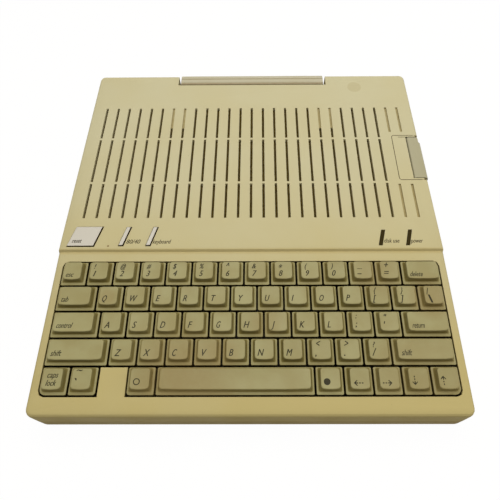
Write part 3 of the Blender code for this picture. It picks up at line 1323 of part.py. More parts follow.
def make_logic_board(material):
    """Main board with its chips, rear sockets, sound jack and the volume wheel's post."""
    left, front, right, rear = board_edges()
    board = make_object("logic_board", make_mesh("logic_board", *block((left, front, BOARD_LEVEL),
                                                                       (right, rear, BOARD_TOP))),
                        material)
    combine(board, chip_forms(), "UNION")
    unite(board, *port_body_forms())
    wheel = wheel_centre()
    base = WHEEL_LEVEL - FIT
    jack_y = CASE_FRONT + JACK_PLACE
    jack_z = WHEEL_LEVEL + WHEEL_THICKNESS / 2
    jack_face = -half_width_at(jack_z + JACK_BLOCK / 2) + WALL + FIT
    unite(board,
          rod(wheel.xy, WHEEL_SEAT_RADIUS, BOARD_TOP - WELD, base),
          rod(wheel.xy, WHEEL_POST_RADIUS, base - WELD, base + WHEEL_THICKNESS, "Z", POST_SIDES),
          block((jack_face, jack_y - JACK_BLOCK / 2, BOARD_LEVEL),
                (jack_face + JACK_BLOCK_LENGTH, jack_y + JACK_BLOCK / 2, jack_z + JACK_BLOCK / 2)),
          rod((jack_y, jack_z), JACK_RADIUS, -half_width_at(jack_z) + FIT, jack_face + WELD, "X"))
    cut(board, *port_hollows(),
        rod((jack_y, jack_z), JACK_BORE_RADIUS, -HALF_WIDTH - OVERRUN, jack_face + JACK_BLOCK_LENGTH / 2,
            "X", POST_SIDES))


def wheel_centre():
    """Middle of the volume wheel's foot."""
    side = -half_width_at(WHEEL_LEVEL + WHEEL_THICKNESS / 2) - WHEEL_REACH
    return Vector((side + WHEEL_RADIUS, CASE_FRONT + WHEEL_PLACE, WHEEL_LEVEL))


def make_volume_wheel(material):
    """Ribbed thumb wheel that turns on the board's post and shows through its slit."""
    centre = wheel_centre()
    outline = []
    for i in range(WHEEL_RIBS * 2):
        radius = WHEEL_RADIUS if i % 2 == 0 else WHEEL_RADIUS - WHEEL_RIB_DEPTH
        angle = HALF_TURN * (1 + i / WHEEL_RIBS)
        outline.append((radius * math.cos(angle), radius * math.sin(angle)))
    wheel = make_object("volume_wheel", make_mesh("volume_wheel", *prism(outline, 0, WHEEL_THICKNESS)),
                        material)
    cut(wheel, rod((0, 0), WHEEL_POST_RADIUS + FIT, -OVERRUN, WHEEL_THICKNESS + OVERRUN, "Z", POST_SIDES))
    wheel.location = centre


def make_power_converter(material):
    """Power converter in a metal can with cooling fins along its top."""
    rear = BAY_FRONT - WALL - CONVERTER_REAR_SPACE
    low = (CONVERTER_X - CONVERTER_WIDTH / 2, rear - CONVERTER_LENGTH, BOARD_TOP + FIT)
    top = low[2] + CONVERTER_HEIGHT
    can = block(low, (CONVERTER_X + CONVERTER_WIDTH / 2, rear, top))
    converter = make_object("power_converter", make_mesh("power_converter", *can), material)
    pitch = CONVERTER_WIDTH / (CONVERTER_FIN_COUNT + 1)
    gaps = []
    for i in range(CONVERTER_FIN_COUNT):
        x = low[0] + (i + 1) * pitch
        gaps.append(block((x - CONVERTER_FIN_GAP / 2, low[1] - OVERRUN, top - CONVERTER_FIN_DEPTH),
                          (x + CONVERTER_FIN_GAP / 2, rear + OVERRUN, top + OVERRUN)))
    cut(converter, *gaps)


def make_power_rocker(material):
    """Power rocker with a hollowed face, tilted to off, on two pins behind the port panel."""
    axis = rocker_axis()
    half = ROCKER_HEIGHT / 2
    face = WALL + ROCKER_PIN_RADIUS
    back = -ROCKER_DEPTH / 2 + ROCKER_PIN_RADIUS
    outline = [(face, half), (back, half / 2), (back, -half / 2), (face, -half), (face - ROCKER_HOLLOW, 0)]
    tilt = Matrix.Rotation(ROCKER_TILT_ANGLE, 4, "X")
    width = ROCKER_WIDTH / 2 - FIT
    body = side_prism(outline, -width, width, tilt)
    rocker = make_object("power_rocker", make_mesh("power_rocker", *body), material)
    ring = circle((0, 0), ROCKER_PIN_RADIUS, SMALL_ROD_SIDES)
    for side in (-1, 1):
        near, far = sorted((side * (width - WELD), side * (width + 2 * FIT + ROCKER_PIN_LENGTH)))
        unite(rocker, side_prism(ring, near, far))
    rocker.location = axis


def clear_scene():
    """Remove what the scene held before."""
    for thing in list(bpy.data.objects):
        bpy.data.objects.remove(thing)


def make_computer():
    """Build every piece of the computer."""
    clear_scene()
    case = make_material("case_plastic", (0.53, 0.46, 0.28), 0.55)
    caps = make_material("keycap_plastic", (0.42, 0.38, 0.24), 0.6)
    dark = make_material("dark_plastic", (0.05, 0.045, 0.03), 0.5)
    door = make_material("drive_door_plastic", (0.38, 0.36, 0.24), 0.55)
    pale = make_material("button_plastic", (0.6, 0.57, 0.47), 0.5)
    metal = make_material("zinc_plate", (0.45, 0.44, 0.42), 0.35, 1.0)
    board = make_material("board_lacquer", (0.04, 0.14, 0.06), 0.4)
    rubber = make_material("foot_rubber", (0.06, 0.06, 0.06), 0.85)
    lamp = make_material("lamp_lens", (0.07, 0.05, 0.04), 0.25)
    make_upper_case(case)
    make_lower_case(case)
    make_carry_handle(case)
    make_keyboard(dark, caps)
    make_drive_bezel(case)
    make_drive_door(door)
    make_disk_drive(metal)
    make_logic_board(board)
    make_power_converter(metal)
    make_power_rocker(dark)
    make_volume_wheel(dark)
    make_button("reset_button", pale)
    make_button("width_switch", case)
    make_button("layout_switch", case)
    make_lamp("disk_lamp", lamp)
    make_lamp("power_lamp", lamp)
    make_feet(rubber)


make_computer()
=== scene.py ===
"""Looks of a portable home computer with a built-in keyboard, a side-loading disk drive and a handle.

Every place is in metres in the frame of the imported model: +X is to the typist's right, +Y to the rear
and +Z up, with the origin on the desk under the middle of the case. The top of the case is made of two
sloping decks, and a point on a deck is given by x, by its way up the slope and by its height over it.
"""
from __future__ import annotations

import logging
import math
from collections.abc import Callable, Iterator, Sequence
from contextlib import contextmanager
from dataclasses import dataclass, field
from enum import Enum

import bmesh
import bpy
import numpy as np
from mathutils import Matrix, Vector


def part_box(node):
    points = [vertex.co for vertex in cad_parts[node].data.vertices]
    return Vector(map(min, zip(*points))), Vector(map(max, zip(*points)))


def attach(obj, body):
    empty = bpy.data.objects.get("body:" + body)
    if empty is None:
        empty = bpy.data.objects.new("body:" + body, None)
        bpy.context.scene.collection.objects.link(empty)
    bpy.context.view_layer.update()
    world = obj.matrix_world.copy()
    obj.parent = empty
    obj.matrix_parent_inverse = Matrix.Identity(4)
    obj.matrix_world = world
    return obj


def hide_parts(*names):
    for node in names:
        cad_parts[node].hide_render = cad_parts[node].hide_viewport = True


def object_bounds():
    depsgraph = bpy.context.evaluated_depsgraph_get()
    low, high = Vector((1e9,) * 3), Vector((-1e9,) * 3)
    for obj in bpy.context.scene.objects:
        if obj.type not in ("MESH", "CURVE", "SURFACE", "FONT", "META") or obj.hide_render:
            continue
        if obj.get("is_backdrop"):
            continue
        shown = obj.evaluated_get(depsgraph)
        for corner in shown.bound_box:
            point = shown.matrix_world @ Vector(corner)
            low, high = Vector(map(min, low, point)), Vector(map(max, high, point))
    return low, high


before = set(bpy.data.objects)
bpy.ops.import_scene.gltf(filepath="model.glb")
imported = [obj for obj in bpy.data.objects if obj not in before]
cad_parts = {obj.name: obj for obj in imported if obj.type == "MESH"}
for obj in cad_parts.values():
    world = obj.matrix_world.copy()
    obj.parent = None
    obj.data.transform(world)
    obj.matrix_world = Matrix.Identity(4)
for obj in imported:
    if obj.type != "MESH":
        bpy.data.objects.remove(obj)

CAD_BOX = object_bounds()
MM = 0.001
QUARTER_TURN = math.pi / 2
# Name of the point attribute that darkens a finish: real dirt on some pieces, painted shade in recesses, gaps
# and on key flanks on others
DIRT_AND_SHADE = "dirt"
SAME_PLACE = 0.001 * MM
BLOCK_CORNER = 0.01 * MM
# Angles in degrees over which an edge stays sharp
SHARP_ANGLE, ROUND_ANGLE = 35.0, 50.0
log = logging.getLogger("home_computer")

Colour = tuple[float, float, float]


class Body(Enum):
    """The case, and the two large bodies that turn on it."""

    CASE = "case"
    HANDLE = "carry_handle"
    DOOR = "drive_door"


class Slot(Enum):
    """Material slots of the record."""

    CASE = "case_plastic"
    KEYCAP = "keycap_plastic"
    DARK = "dark_plastic"
    DOOR = "door_plastic"
    BUTTON = "button_plastic"
    METAL = "zinc_plate"
    BOARD = "board_lacquer"
    RUBBER = "foot_rubber"
    LENS = "lamp_lens"


# Shader node groups and finishes


class Wiring:
    """Adds nodes to one node tree and joins them."""

    def __init__(self, tree: bpy.types.NodeTree) -> None:
        """Start wiring a tree."""
        self.tree = tree

    def add(self, kind: str, settings: dict[str, object] | None = None, values: Sequence[object] = (),
            **inputs: object) -> bpy.types.Node:
        """Add a node, set its properties and fill its inputs.

        Args:
            kind: Blender's name of the node type.
            settings: Properties of the node itself.
            values: Value or output socket for each of the first inputs.
            inputs: Value or output socket for named inputs, with underscores for spaces.

        Returns:
            The new node.
        """
        node = self.tree.nodes.new(kind)
        for name, value in (settings or {}).items():
            setattr(node, name, value)
        for place, value in (*enumerate(values), *inputs.items()):
            self.feed(node, place, value)
        return node

    def feed(self, node: bpy.types.Node, place: str | int, value: object) -> None:
        """Give one input of a node a value, or join it to an output socket.

        Args:
            node: Node whose input is set.
            place: Number of the input, or its name, with underscores or spaces.
            value: Number, colour or output socket.
        """
        entry = node.inputs[place.replace("_", " ") if isinstance(place, str) else place]
        if isinstance(value, bpy.types.NodeSocket):
            self.tree.links.new(value, entry)
        elif isinstance(value, tuple) and len(value) == 3 and entry.type == "RGBA":
            entry.default_value = (*value, 1.0)
        else:
            entry.default_value = value

    def math(self, operation: str, first: object, second: object = 0.0, clamp: bool = False
             ) -> bpy.types.NodeSocket:
        """Add a math node.

        Args:
            operation: Blender's name of the operation.
            first: First number or socket.
            second: Second number or socket.
            clamp: Whether the result is held between 0 and 1.

        Returns:
            The node's output socket.
        """
        settings = {"operation": operation, "use_clamp": clamp}
        return self.add("ShaderNodeMath", settings, (first, second)).outputs[0]

    def mix(self, share: object, first: object, second: object) -> bpy.types.NodeSocket:
        """Add a colour mix node.

        Args:
            share: Share of the second colour.
            first: First colour or socket.
            second: Second colour or socket.

        Returns:
            The mixed colour's socket.
        """
        node = self.add("ShaderNodeMix", {"data_type": "RGBA"}, (share,))
        self.feed(node, 6, first)
        self.feed(node, 7, second)
        return node.outputs[2]

    def ramp(self, value: bpy.types.NodeSocket, low: float, high: float) -> bpy.types.NodeSocket:
        """Map a value smoothly from 0 at a low mark to 1 at a high mark.

        Args:
            value: Socket to map.
            low: Mark that gives 0.
            high: Mark that gives 1.

        Returns:
            The mapped value's socket.
        """
        return self.add("ShaderNodeMapRange", {"interpolation_type": "SMOOTHSTEP"}, Value=value,
                        From_Min=low, From_Max=high).outputs[0]

    def noise(self, vector: object, scale: object, detail: float = 2.0) -> bpy.types.NodeSocket:
        """Add a noise texture.

        Args:
            vector: Socket with the place.
            scale: Waves per metre, as a number or socket.
            detail: Number of finer layers.

        Returns:
            The noise value's socket.
        """
        return self.add("ShaderNodeTexNoise", Vector=vector, Scale=scale, Detail=detail).outputs["Fac"]

    def seen_directly(self) -> bpy.types.NodeSocket:
        """Mask of the rays that find the backdrop white: camera, transmission and glossy rays."""
        path = self.add("ShaderNodeLightPath").outputs
        seen = self.math("MAXIMUM", path["Is Camera Ray"], path["Is Transmission Ray"])
        return self.math("MAXIMUM", seen, path["Is Glossy Ray"])


def start_group(name: str, inputs: dict[str, tuple[str, object]], outputs: dict[str, str]
                ) -> tuple[Wiring, bpy.types.bpy_prop_collection, bpy.types.Node]:
    """Make an empty shader node group with its sockets.

    Args:
        name: Name of the group.
        inputs: Kind and first value of each input socket.
        outputs: Kind of each output socket.

    Returns:
        The group's wiring, the sockets that give its inputs, and its output node.
    """
    group = bpy.data.node_groups.new(name, "ShaderNodeTree")
    for label, (kind, value) in inputs.items():
        socket = group.interface.new_socket(name=label, in_out="INPUT", socket_type=kind)
        if value is not None:
            socket.default_value = value
    for label, kind in outputs.items():
        group.interface.new_socket(name=label, in_out="OUTPUT", socket_type=kind)
    wiring = Wiring(group)
    return wiring, wiring.add("NodeGroupInput").outputs, wiring.add("NodeGroupOutput")


FLOAT, COLOUR, VECTOR = "NodeSocketFloat", "NodeSocketColor", "NodeSocketVector"
WHITE = (1.0, 1.0, 1.0, 1.0)


def build_mould_grain() -> bpy.types.NodeTree:
    """Group for the fine spark texture of a mould: a height, and a roughness that follows it.

    Returns:
        The node group.
    """
    wiring, given, end = start_group(
        "mould grain", {"Place": (VECTOR, None), "Grains per metre": (FLOAT, 1500.0), "Gloss": (FLOAT, 0.5)},
        {"Height": FLOAT, "Roughness": FLOAT})
    place, scale = given["Place"], given["Grains per metre"]
    fine = wiring.noise(place, scale, 3.0)
    waves = wiring.noise(place, wiring.math("MULTIPLY", scale, 0.03), 1.0)
    wiring.feed(end, "Height", wiring.math("ADD", fine, wiring.math("MULTIPLY", waves, 2.0)))
    lift = wiring.math("MULTIPLY", wiring.math("SUBTRACT", waves, 0.5), 0.25)
    wiring.feed(end, "Roughness", wiring.math("ADD", given["Gloss"], lift, clamp=True))
    return wiring.tree


def build_ageing() -> bpy.types.NodeTree:
    """Group for plastic that has yellowed in patches and more towards the front of the case.

    Returns:
        The node group.
    """
    wiring, given, end = start_group(
        "age yellowing", {"Place": (VECTOR, None), "Fresh": (COLOUR, WHITE), "Aged": (COLOUR, WHITE),
                          "Patches per metre": (FLOAT, 16.0), "Amount": (FLOAT, 0.5), "Front": (FLOAT, 0.5)},
        {"Colour": COLOUR})
    place = given["Place"]
    patches = wiring.ramp(wiring.noise(place, given["Patches per metre"], 3.0), 0.3, 0.7)
    across = wiring.add("ShaderNodeSeparateXYZ", Vector=place).outputs["Y"]
    nearer = wiring.math("SUBTRACT", 1.0, wiring.ramp(across, -0.16, 0.15))
    front = wiring.math("MULTIPLY", nearer, nearer)
    by_patch = wiring.math("MULTIPLY", patches, given["Amount"])
    by_front = wiring.math("MULTIPLY", front, given["Front"])
    share = wiring.math("ADD", by_patch, by_front, clamp=True)
    wiring.feed(end, "Colour", wiring.mix(share, given["Fresh"], given["Aged"]))
    return wiring.tree


def build_grime_and_shade() -> bpy.types.NodeTree:
    """Group for dirt and painted shade in corners, recesses and gaps, broken up by noise: a stain, then dirt,
    and small dark specks.

    The lower half of the mask brings the stain up and its upper half covers that with the dark dirt colour,
    which is painted shade where the mask marks a recess or gap.

    Returns:
        The node group.
    """
    wiring, given, end = start_group(
        "grime_and_shade", {"Place": (VECTOR, None), "Clean": (COLOUR, WHITE),
                  "Stain": (COLOUR, (0.2, 0.15, 0.05, 1.0)),
                  "Dirt": (COLOUR, (0.05, 0.04, 0.02, 1.0)), "Mask": (FLOAT, 0.0), "Amount": (FLOAT, 0.5),
                  "Specks": (FLOAT, 0.3)},
        {"Colour": COLOUR})
    place = given["Place"]
    breakup = wiring.ramp(wiring.noise(place, 260.0, 4.0), 0.25, 0.75)
    patchy = wiring.math("ADD", 0.8, wiring.math("MULTIPLY", breakup, 0.2))
    mask = wiring.math("MULTIPLY", given["Mask"], patchy)
    stain = wiring.math("MULTIPLY", wiring.ramp(mask, 0.0, 0.5), given["Amount"])
    stained = wiring.mix(stain, given["Clean"], given["Stain"])
    dirt = wiring.ramp(mask, 0.5, 0.8)
    cells = wiring.add("ShaderNodeTexVoronoi", Vector=place, Scale=210.0)
    spot = wiring.math("SUBTRACT", 1.0, wiring.ramp(cells.outputs["Distance"], 0.04, 0.12))
    rare = wiring.ramp(wiring.noise(place, 95.0, 1.0), 0.62, 0.7)
    specks = wiring.math("MULTIPLY", wiring.math("MULTIPLY", spot, rare), given["Specks"])
    share = wiring.math("MAXIMUM", dirt, specks, clamp=True)
    wiring.feed(end, "Colour", wiring.mix(share, stained, given["Dirt"]))
    return wiring.tree


def build_scuffs() -> bpy.types.NodeTree:
    """Group for fine scuffs: thin stretched marks that change the gloss a little.

    Returns:
        The node group.
    """
    wiring, given, end = start_group(
        "fine scuffs", {"Place": (VECTOR, None), "Base": (FLOAT, 0.5), "Amount": (FLOAT, 0.2)},
        {"Roughness": FLOAT})
    stretch = wiring.add("ShaderNodeMapping", Vector=given["Place"], Scale=(1.0, 0.12, 1.0),
                         Rotation=(0.0, 0.0, 0.5))
    lines = wiring.ramp(wiring.noise(stretch.outputs[0], 900.0, 2.0), 0.66, 0.74)
    where = wiring.ramp(wiring.noise(given["Place"], 40.0, 2.0), 0.45, 0.65)
    lift = wiring.math("MULTIPLY", wiring.math("MULTIPLY", lines, where), given["Amount"])
    wiring.feed(end, "Roughness", wiring.math("SUBTRACT", given["Base"], lift, clamp=True))
    return wiring.tree


@dataclass(frozen=True)
class Groups:
    """Node groups that the finishes share."""

    grain: bpy.types.NodeTree
    ageing: bpy.types.NodeTree
    grime_and_shade: bpy.types.NodeTree
    scuffs: bpy.types.NodeTree

    @staticmethod
    def build() -> Groups:
        """Make each group once."""
        return Groups(build_mould_grain(), build_ageing(), build_grime_and_shade(), build_scuffs())


@dataclass(frozen=True)
class Mark:
    """Stains and bands of painted shade: colour round a place, or along X where its reach across is endless.
    """

    centre: tuple[float, float, float]
    radius: float
    softness: float
    colour: Colour
    strength: float
    endless: bool = False

    def add(self, wiring: Wiring, place: bpy.types.NodeSocket, colour: bpy.types.NodeSocket
            ) -> bpy.types.NodeSocket:
        """Lay the mark's colour over a colour: its share falls off with the distance from its centre.

        Args:
            wiring: Wiring of the material.
            place: Socket with the place.
            colour: Socket with the colour underneath.

        Returns:
            The stained colour's socket.
        """
        reach = (0.0, 1.0, 1.0) if self.endless else (1.0, 1.0, 1.0)
        middle = tuple(c * r for c, r in zip(self.centre, reach))
        seen = wiring.add("ShaderNodeVectorMath", {"operation": "MULTIPLY"}, (place, reach))
        distance = wiring.add("ShaderNodeVectorMath", {"operation": "DISTANCE"}, (seen.outputs[0], middle))
        fade = wiring.math("SUBTRACT", 1.0, wiring.ramp(distance.outputs["Value"], self.radius,
                                                        self.radius + self.softness))
        patchy = wiring.math("ADD", 0.75, wiring.math("MULTIPLY", wiring.noise(place, 320.0), 0.5))
        share = wiring.math("MULTIPLY", wiring.math("MULTIPLY", fade, patchy), self.strength, clamp=True)
        return wiring.mix(share, colour, self.colour)


@dataclass(frozen=True)
class Finish:
    """Finish of one material of the computer, with what it needs for its shader."""

    name: str
    colour: Colour
    aged: Colour = (0.0, 0.0, 0.0)
    # The dirt and stain colours come in by the piece's dirt attribute: real dirt on some pieces, painted
    # shade in recesses, gaps and on flanks on others
    dirt: Colour = (0.06, 0.045, 0.02)
    stain: Colour = (0.25, 0.19, 0.07)
    patches: float = 16.0
    roughness: float = 0.5
    metallic: float = 0.0
    grains: float = 1500.0
    grain_depth: float = 0.03 * MM
    patch_amount: float = 0.3
    front_amount: float = 0.0
    grime_and_shade: float = 0.6
    specks: float = 0.25
    scuffs: float = 0.15
    specular: float = 0.5

    def build(self, groups: Groups, marks: Sequence[Mark] = ()) -> bpy.types.Material:
        """Make the material: ageing, then dirt and painted shade by the piece's dirt attribute, over a
        grained surface.

        Args:
            groups: The shared node groups.
            marks: Stains at places of their own.

        Returns:
            The material.
        """
        material = bpy.data.materials.new(self.name)
        material.use_nodes = True
        material.diffuse_color = (*self.colour, 1.0)
        wiring = Wiring(material.node_tree)
        shader = material.node_tree.nodes["Principled BSDF"]
        place = wiring.add("ShaderNodeTexCoord").outputs["Object"]
        ageing = wiring.add("ShaderNodeGroup", {"node_tree": groups.ageing}, Place=place, Fresh=self.colour,
                            Aged=self.aged if any(self.aged) else self.colour, Amount=self.patch_amount,
                            Front=self.front_amount, Patches_per_metre=self.patches)
        mask = wiring.add("ShaderNodeAttribute", {"attribute_name": DIRT_AND_SHADE}).outputs["Fac"]
        grime_and_shade = wiring.add("ShaderNodeGroup", {"node_tree": groups.grime_and_shade}, Place=place,
                           Clean=ageing.outputs["Colour"], Stain=self.stain, Dirt=self.dirt, Mask=mask,
                           Amount=self.grime_and_shade, Specks=self.specks)
        colour = grime_and_shade.outputs["Colour"]
        for mark in marks:
            colour = mark.add(wiring, place, colour)
        grain = wiring.add("ShaderNodeGroup", {"node_tree": groups.grain}, Place=place, Gloss=self.roughness,
                           Grains_per_metre=self.grains)
        scuffs = wiring.add("ShaderNodeGroup", {"node_tree": groups.scuffs}, Place=place,
                            Base=grain.outputs["Roughness"], Amount=self.scuffs)
        bump = wiring.add("ShaderNodeBump", Height=grain.outputs["Height"], Strength=1.0,
                          Distance=self.grain_depth)
        inputs = {"Base Color": colour, "Roughness": scuffs.outputs["Roughness"],
                  "Normal": bump.outputs["Normal"], "Metallic": self.metallic,
                  "Specular IOR Level": self.specular}
        for name, value in inputs.items():
            wiring.feed(shader, name, value)
        return material


class FinishName(Enum):
    """The finishes of the computer."""

    # Near-black dirt colour and brown stain: painted shade, with some dirt, in the key well, on the slot
    # walls under the decks and in the bezel's groove
    CASE = Finish("case plastic", (0.585, 0.530, 0.320), (0.545, 0.442, 0.178), (0.030, 0.018, 0.004),
                  (0.250, 0.175, 0.042), roughness=0.7, patch_amount=0.2, front_amount=0.9, grime_and_shade=1.0,
                  specks=0.2, specular=0.15)
    # Dirt and stain colours: painted shade, with some dirt, in the line pressed along the grip
    HANDLE = Finish("handle plastic", (0.510, 0.465, 0.325), (0.480, 0.415, 0.235), (0.060, 0.038, 0.010),
                    (0.165, 0.110, 0.030), roughness=0.55, patch_amount=0.5, grime_and_shade=1.0, specks=0.2,
                    specular=0.3)
    CASE_BOTTOM = Finish("case bottom plastic", (0.500, 0.430, 0.220), (0.430, 0.330, 0.125), roughness=0.75,
                         patch_amount=0.4, front_amount=0.6, grime_and_shade=0.7, specks=0.4, specular=0.2)
    # Near-black dirt colour: painted shade inside the cap and down its skirt between the keys; the stain is
    # dirt with painted shade on the flanks
    KEYCAP = Finish("keycap plastic", (0.382, 0.344, 0.157), (0.320, 0.264, 0.102), (0.012, 0.006, 0.0005),
                    (0.185, 0.145, 0.038), patches=60.0, roughness=0.5, grains=2600.0, grain_depth=0.012 * MM,
                    patch_amount=0.6, front_amount=0.1, grime_and_shade=1.0, specks=0.12, scuffs=0.1, specular=0.2)
    BUTTON = Finish("pale button plastic", (0.600, 0.555, 0.455), (0.560, 0.505, 0.390),
                    (0.045, 0.028, 0.008), (0.160, 0.115, 0.050), roughness=0.45, grains=2400.0,
                    grain_depth=0.012 * MM, grime_and_shade=1.0)
    # Dark brown: painted shade on the sides of the buttons and the bezel's walls by the door, and dirt with
    # painted shade in the bezel's joint
    SOIL_AND_SHADE = Finish("packed dirt and painted shade", (0.050, 0.030, 0.007), (0.030, 0.018, 0.004), roughness=0.8, grime_and_shade=0.2,
                  patches=200.0, patch_amount=0.8, specular=0.1)
    DOOR = Finish("drive door plastic", (0.385, 0.350, 0.205), (0.345, 0.300, 0.155), (0.05, 0.035, 0.01),
                  (0.200, 0.155, 0.070), roughness=0.48, patch_amount=0.35, grime_and_shade=1.0)
    DARK = Finish("black plastic", (0.016, 0.011, 0.005), (0.022, 0.015, 0.007), (0.05, 0.03, 0.01),
                  roughness=0.55, grains=1800.0, grime_and_shade=0.2, specular=0.15)
    # Its brown is dust with painted warm light, bounced from the plastic round the drive
    METAL = Finish("dusty drive plate with painted bounce light", (0.330, 0.265, 0.150), (0.260, 0.190, 0.090), (0.10, 0.07, 0.03),
                   (0.210, 0.150, 0.070), roughness=0.7, metallic=0.25, grains=700.0,
                   grain_depth=0.02 * MM, patches=40.0, patch_amount=0.8, grime_and_shade=0.6)
    PLATING = Finish("tinned steel", (0.560, 0.550, 0.520), (0.470, 0.440, 0.380), (0.20, 0.17, 0.12),
                     roughness=0.34, metallic=1.0, grains=700.0, grain_depth=0.008 * MM, grime_and_shade=0.3)
    BRASS = Finish("gold plated contact", (0.780, 0.560, 0.220), roughness=0.28, metallic=1.0,
                   grains=3000.0, grain_depth=0.003 * MM, grime_and_shade=0.2, specks=0.1)
    BOARD = Finish("board lacquer", (0.020, 0.115, 0.045), (0.030, 0.100, 0.035), (0.08, 0.06, 0.03),
                   (0.200, 0.145, 0.065), roughness=0.4, grains=1100.0, grain_depth=0.02 * MM, grime_and_shade=0.9)
    RUBBER = Finish("foot rubber", (0.035, 0.034, 0.033), (0.060, 0.056, 0.050), (0.20, 0.18, 0.14),
                    (0.10, 0.09, 0.07), roughness=0.82, grains=900.0, grain_depth=0.05 * MM, grime_and_shade=0.35)
    LENS = Finish("smoked lamp lens", (0.036, 0.025, 0.005), (0.042, 0.030, 0.008), roughness=0.55,
                  grains=2000.0, grain_depth=0.004 * MM, grime_and_shade=0.3, specular=0.04)
    SCREEN = Finish("dust screen", (0.095, 0.064, 0.014), (0.050, 0.033, 0.006), (0.05, 0.03, 0.01),
                    (0.15, 0.10, 0.03), roughness=0.8, grains=900.0, grain_depth=0.1 * MM, patches=300.0,
                    patch_amount=1.0, grime_and_shade=0.3, specular=0.1)
    INK = Finish("legend ink", (0.022, 0.018, 0.005), (0.040, 0.033, 0.010), (0.12, 0.10, 0.04),
                 roughness=0.6, grains=2600.0, grain_depth=0.004 * MM, patch_amount=0.7, grime_and_shade=0.2,
                 specular=0.2, patches=400.0)
    PRINT = Finish("deck print ink", (0.030, 0.021, 0.005), (0.055, 0.040, 0.010), (0.20, 0.15, 0.05),
                   roughness=0.6, grains=2600.0, grain_depth=0.004 * MM, patch_amount=0.7, grime_and_shade=0.2,
                   specular=0.2, patches=500.0)
    SCREW = Finish("blackened screw", (0.12, 0.115, 0.11), (0.16, 0.13, 0.10), (0.10, 0.07, 0.04),
                   roughness=0.4, metallic=1.0, grains=1500.0, grain_depth=0.01 * MM, grime_and_shade=0.4)


class Paints:
    """The materials of all finishes, made once."""

    def __init__(self, form: CaseForm) -> None:
        """Build every finish, and those of the case, the handle and the keys with their stains and painted
        shade on them.

        Args:
            form: Sizes of the case, which say where the stains are.
        """
        groups = Groups.build()
        marks = {FinishName.CASE: form.marks(), FinishName.KEYCAP: form.key_marks(),
                 FinishName.HANDLE: form.handle_shade_marks()}
        self.materials = {name: name.value.build(groups, marks.get(name, ())) for name in FinishName}

    def __getitem__(self, name: FinishName) -> bpy.types.Material:
        """Material of a finish."""
        return self.materials[name]


# Shapes worked out as arrays


@dataclass
class Skin:
    """Points, faces and the dirt and painted shade values gathered for one mesh."""

    points: list[np.ndarray] = field(default_factory=list)
    faces: list[list[int]] = field(default_factory=list)
    dirt: list[np.ndarray] = field(default_factory=list)
    count: int = 0

    def add_points(self, points: np.ndarray, dirt: float | np.ndarray = 0.0) -> int:
        """Add points with their dirt.

        Args:
            points: Array of places, n by 3.
            dirt: One dirt value, or one for each point.

        Returns:
            Index of the first new point.
        """
        start = self.count
        self.points.append(points)
        self.dirt.append(np.broadcast_to(np.asarray(dirt, float), (len(points),)))
        self.count += len(points)
        return start

    def join_rings(self, start: int, levels: int, count: int) -> None:
        """Add the faces between rings whose points follow one another.

        Args:
            start: Index of the first point.
            levels: Number of rings.
            count: Points of each ring.
        """
        here = np.arange(count)
        after = np.roll(here, -1)
        base = start + np.arange(levels - 1)[:, None] * count
        quads = np.stack((base + here, base + after, base + count + after, base + count + here), -1)
        self.faces += quads.reshape(-1, 4).tolist()

    def add_rings(self, rings: np.ndarray, dirt: float | np.ndarray = 0.0, low_pole: np.ndarray | None = None,
                  high_pole: np.ndarray | None = None) -> None:
        """Add a tube of closed rings, level by level, with a pole or a flat cap at each end.

        The faces point outwards where each ring runs counter-clockwise seen from the last level.

        Args:
            rings: Array of levels by points by 3.
            dirt: One value, or one for each level.
            low_pole: Point that closes the first ring, or None for a flat cap.
            high_pole: Point that closes the last ring, or None for a flat cap.
        """
        levels, count, _ = rings.shape
        level_dirt = np.broadcast_to(np.asarray(dirt, float), (levels,))
        start = self.add_points(rings.reshape(-1, 3), np.repeat(level_dirt, count))
        self.join_rings(start, levels, count)
        here = start + np.arange(count)
        last = here + (levels - 1) * count
        for ring, pole, value in ((here[::-1], low_pole, level_dirt[:1]), (last, high_pole, level_dirt[-1:])):
            if pole is None:
                self.faces.append(ring.tolist())
            else:
                tip = np.full(count, self.add_points(pole[None], value))
                self.faces += np.stack((ring, np.roll(ring, -1), tip), -1).tolist()

    def add_hoop(self, hoop: np.ndarray) -> None:
        """Add a closed band, from the rings of its section, whose first and last are the same."""
        levels, count, _ = hoop.shape
        self.join_rings(self.add_points(hoop.reshape(-1, 3)), levels, count)

    def add_block(self, low: Sequence[float], high: Sequence[float], place: Matrix | None = None,
                  dirt: float = 0.0) -> None:
        """Add a closed box.

        Args:
            low: Lowest corner.
            high: Highest corner.
            place: Frame that the corners are given in.
            dirt: Dirt value.
        """
        corners = np.array([(*low[:2], *high[:2])] * 2)
        ring = rounded_rings(corners[:, :2], corners[:, 2:], np.full((2, 4), BLOCK_CORNER), 2, 0)
        self.add_rings(carry(with_heights(ring, (low[2], high[2])), place), dirt)

    def to_mesh(self, name: str) -> bpy.types.Mesh:
        """Make the mesh, with its dirt as a point attribute."""
        mesh = bpy.data.meshes.new(name)
        mesh.from_pydata(np.concatenate(self.points).tolist(), [], self.faces)
        store_dirt_and_shade(mesh, np.concatenate(self.dirt))
        return mesh


def store_dirt_and_shade(mesh: bpy.types.Mesh, values: np.ndarray) -> None:
    """Store a dirt and painted shade value for each point of a mesh."""
    mesh.attributes.new(DIRT_AND_SHADE, "FLOAT", "POINT").data.foreach_set("value", values.astype(np.float32))


def read_vectors(items: bpy.types.bpy_prop_collection, name: str) -> np.ndarray:
    """Read a vector of each point or face of a mesh, as an array of n by 3."""
    values = np.empty(len(items) * 3)
    items.foreach_get(name, values)
    return values.reshape(-1, 3)


@contextmanager
def editing(mesh: bpy.types.Mesh) -> Iterator[bmesh.types.BMesh]:
    """Open a mesh for editing, and write it back at the end."""
    form = bmesh.new()
    form.from_mesh(mesh)
    yield form
    form.to_mesh(mesh)
    form.free()


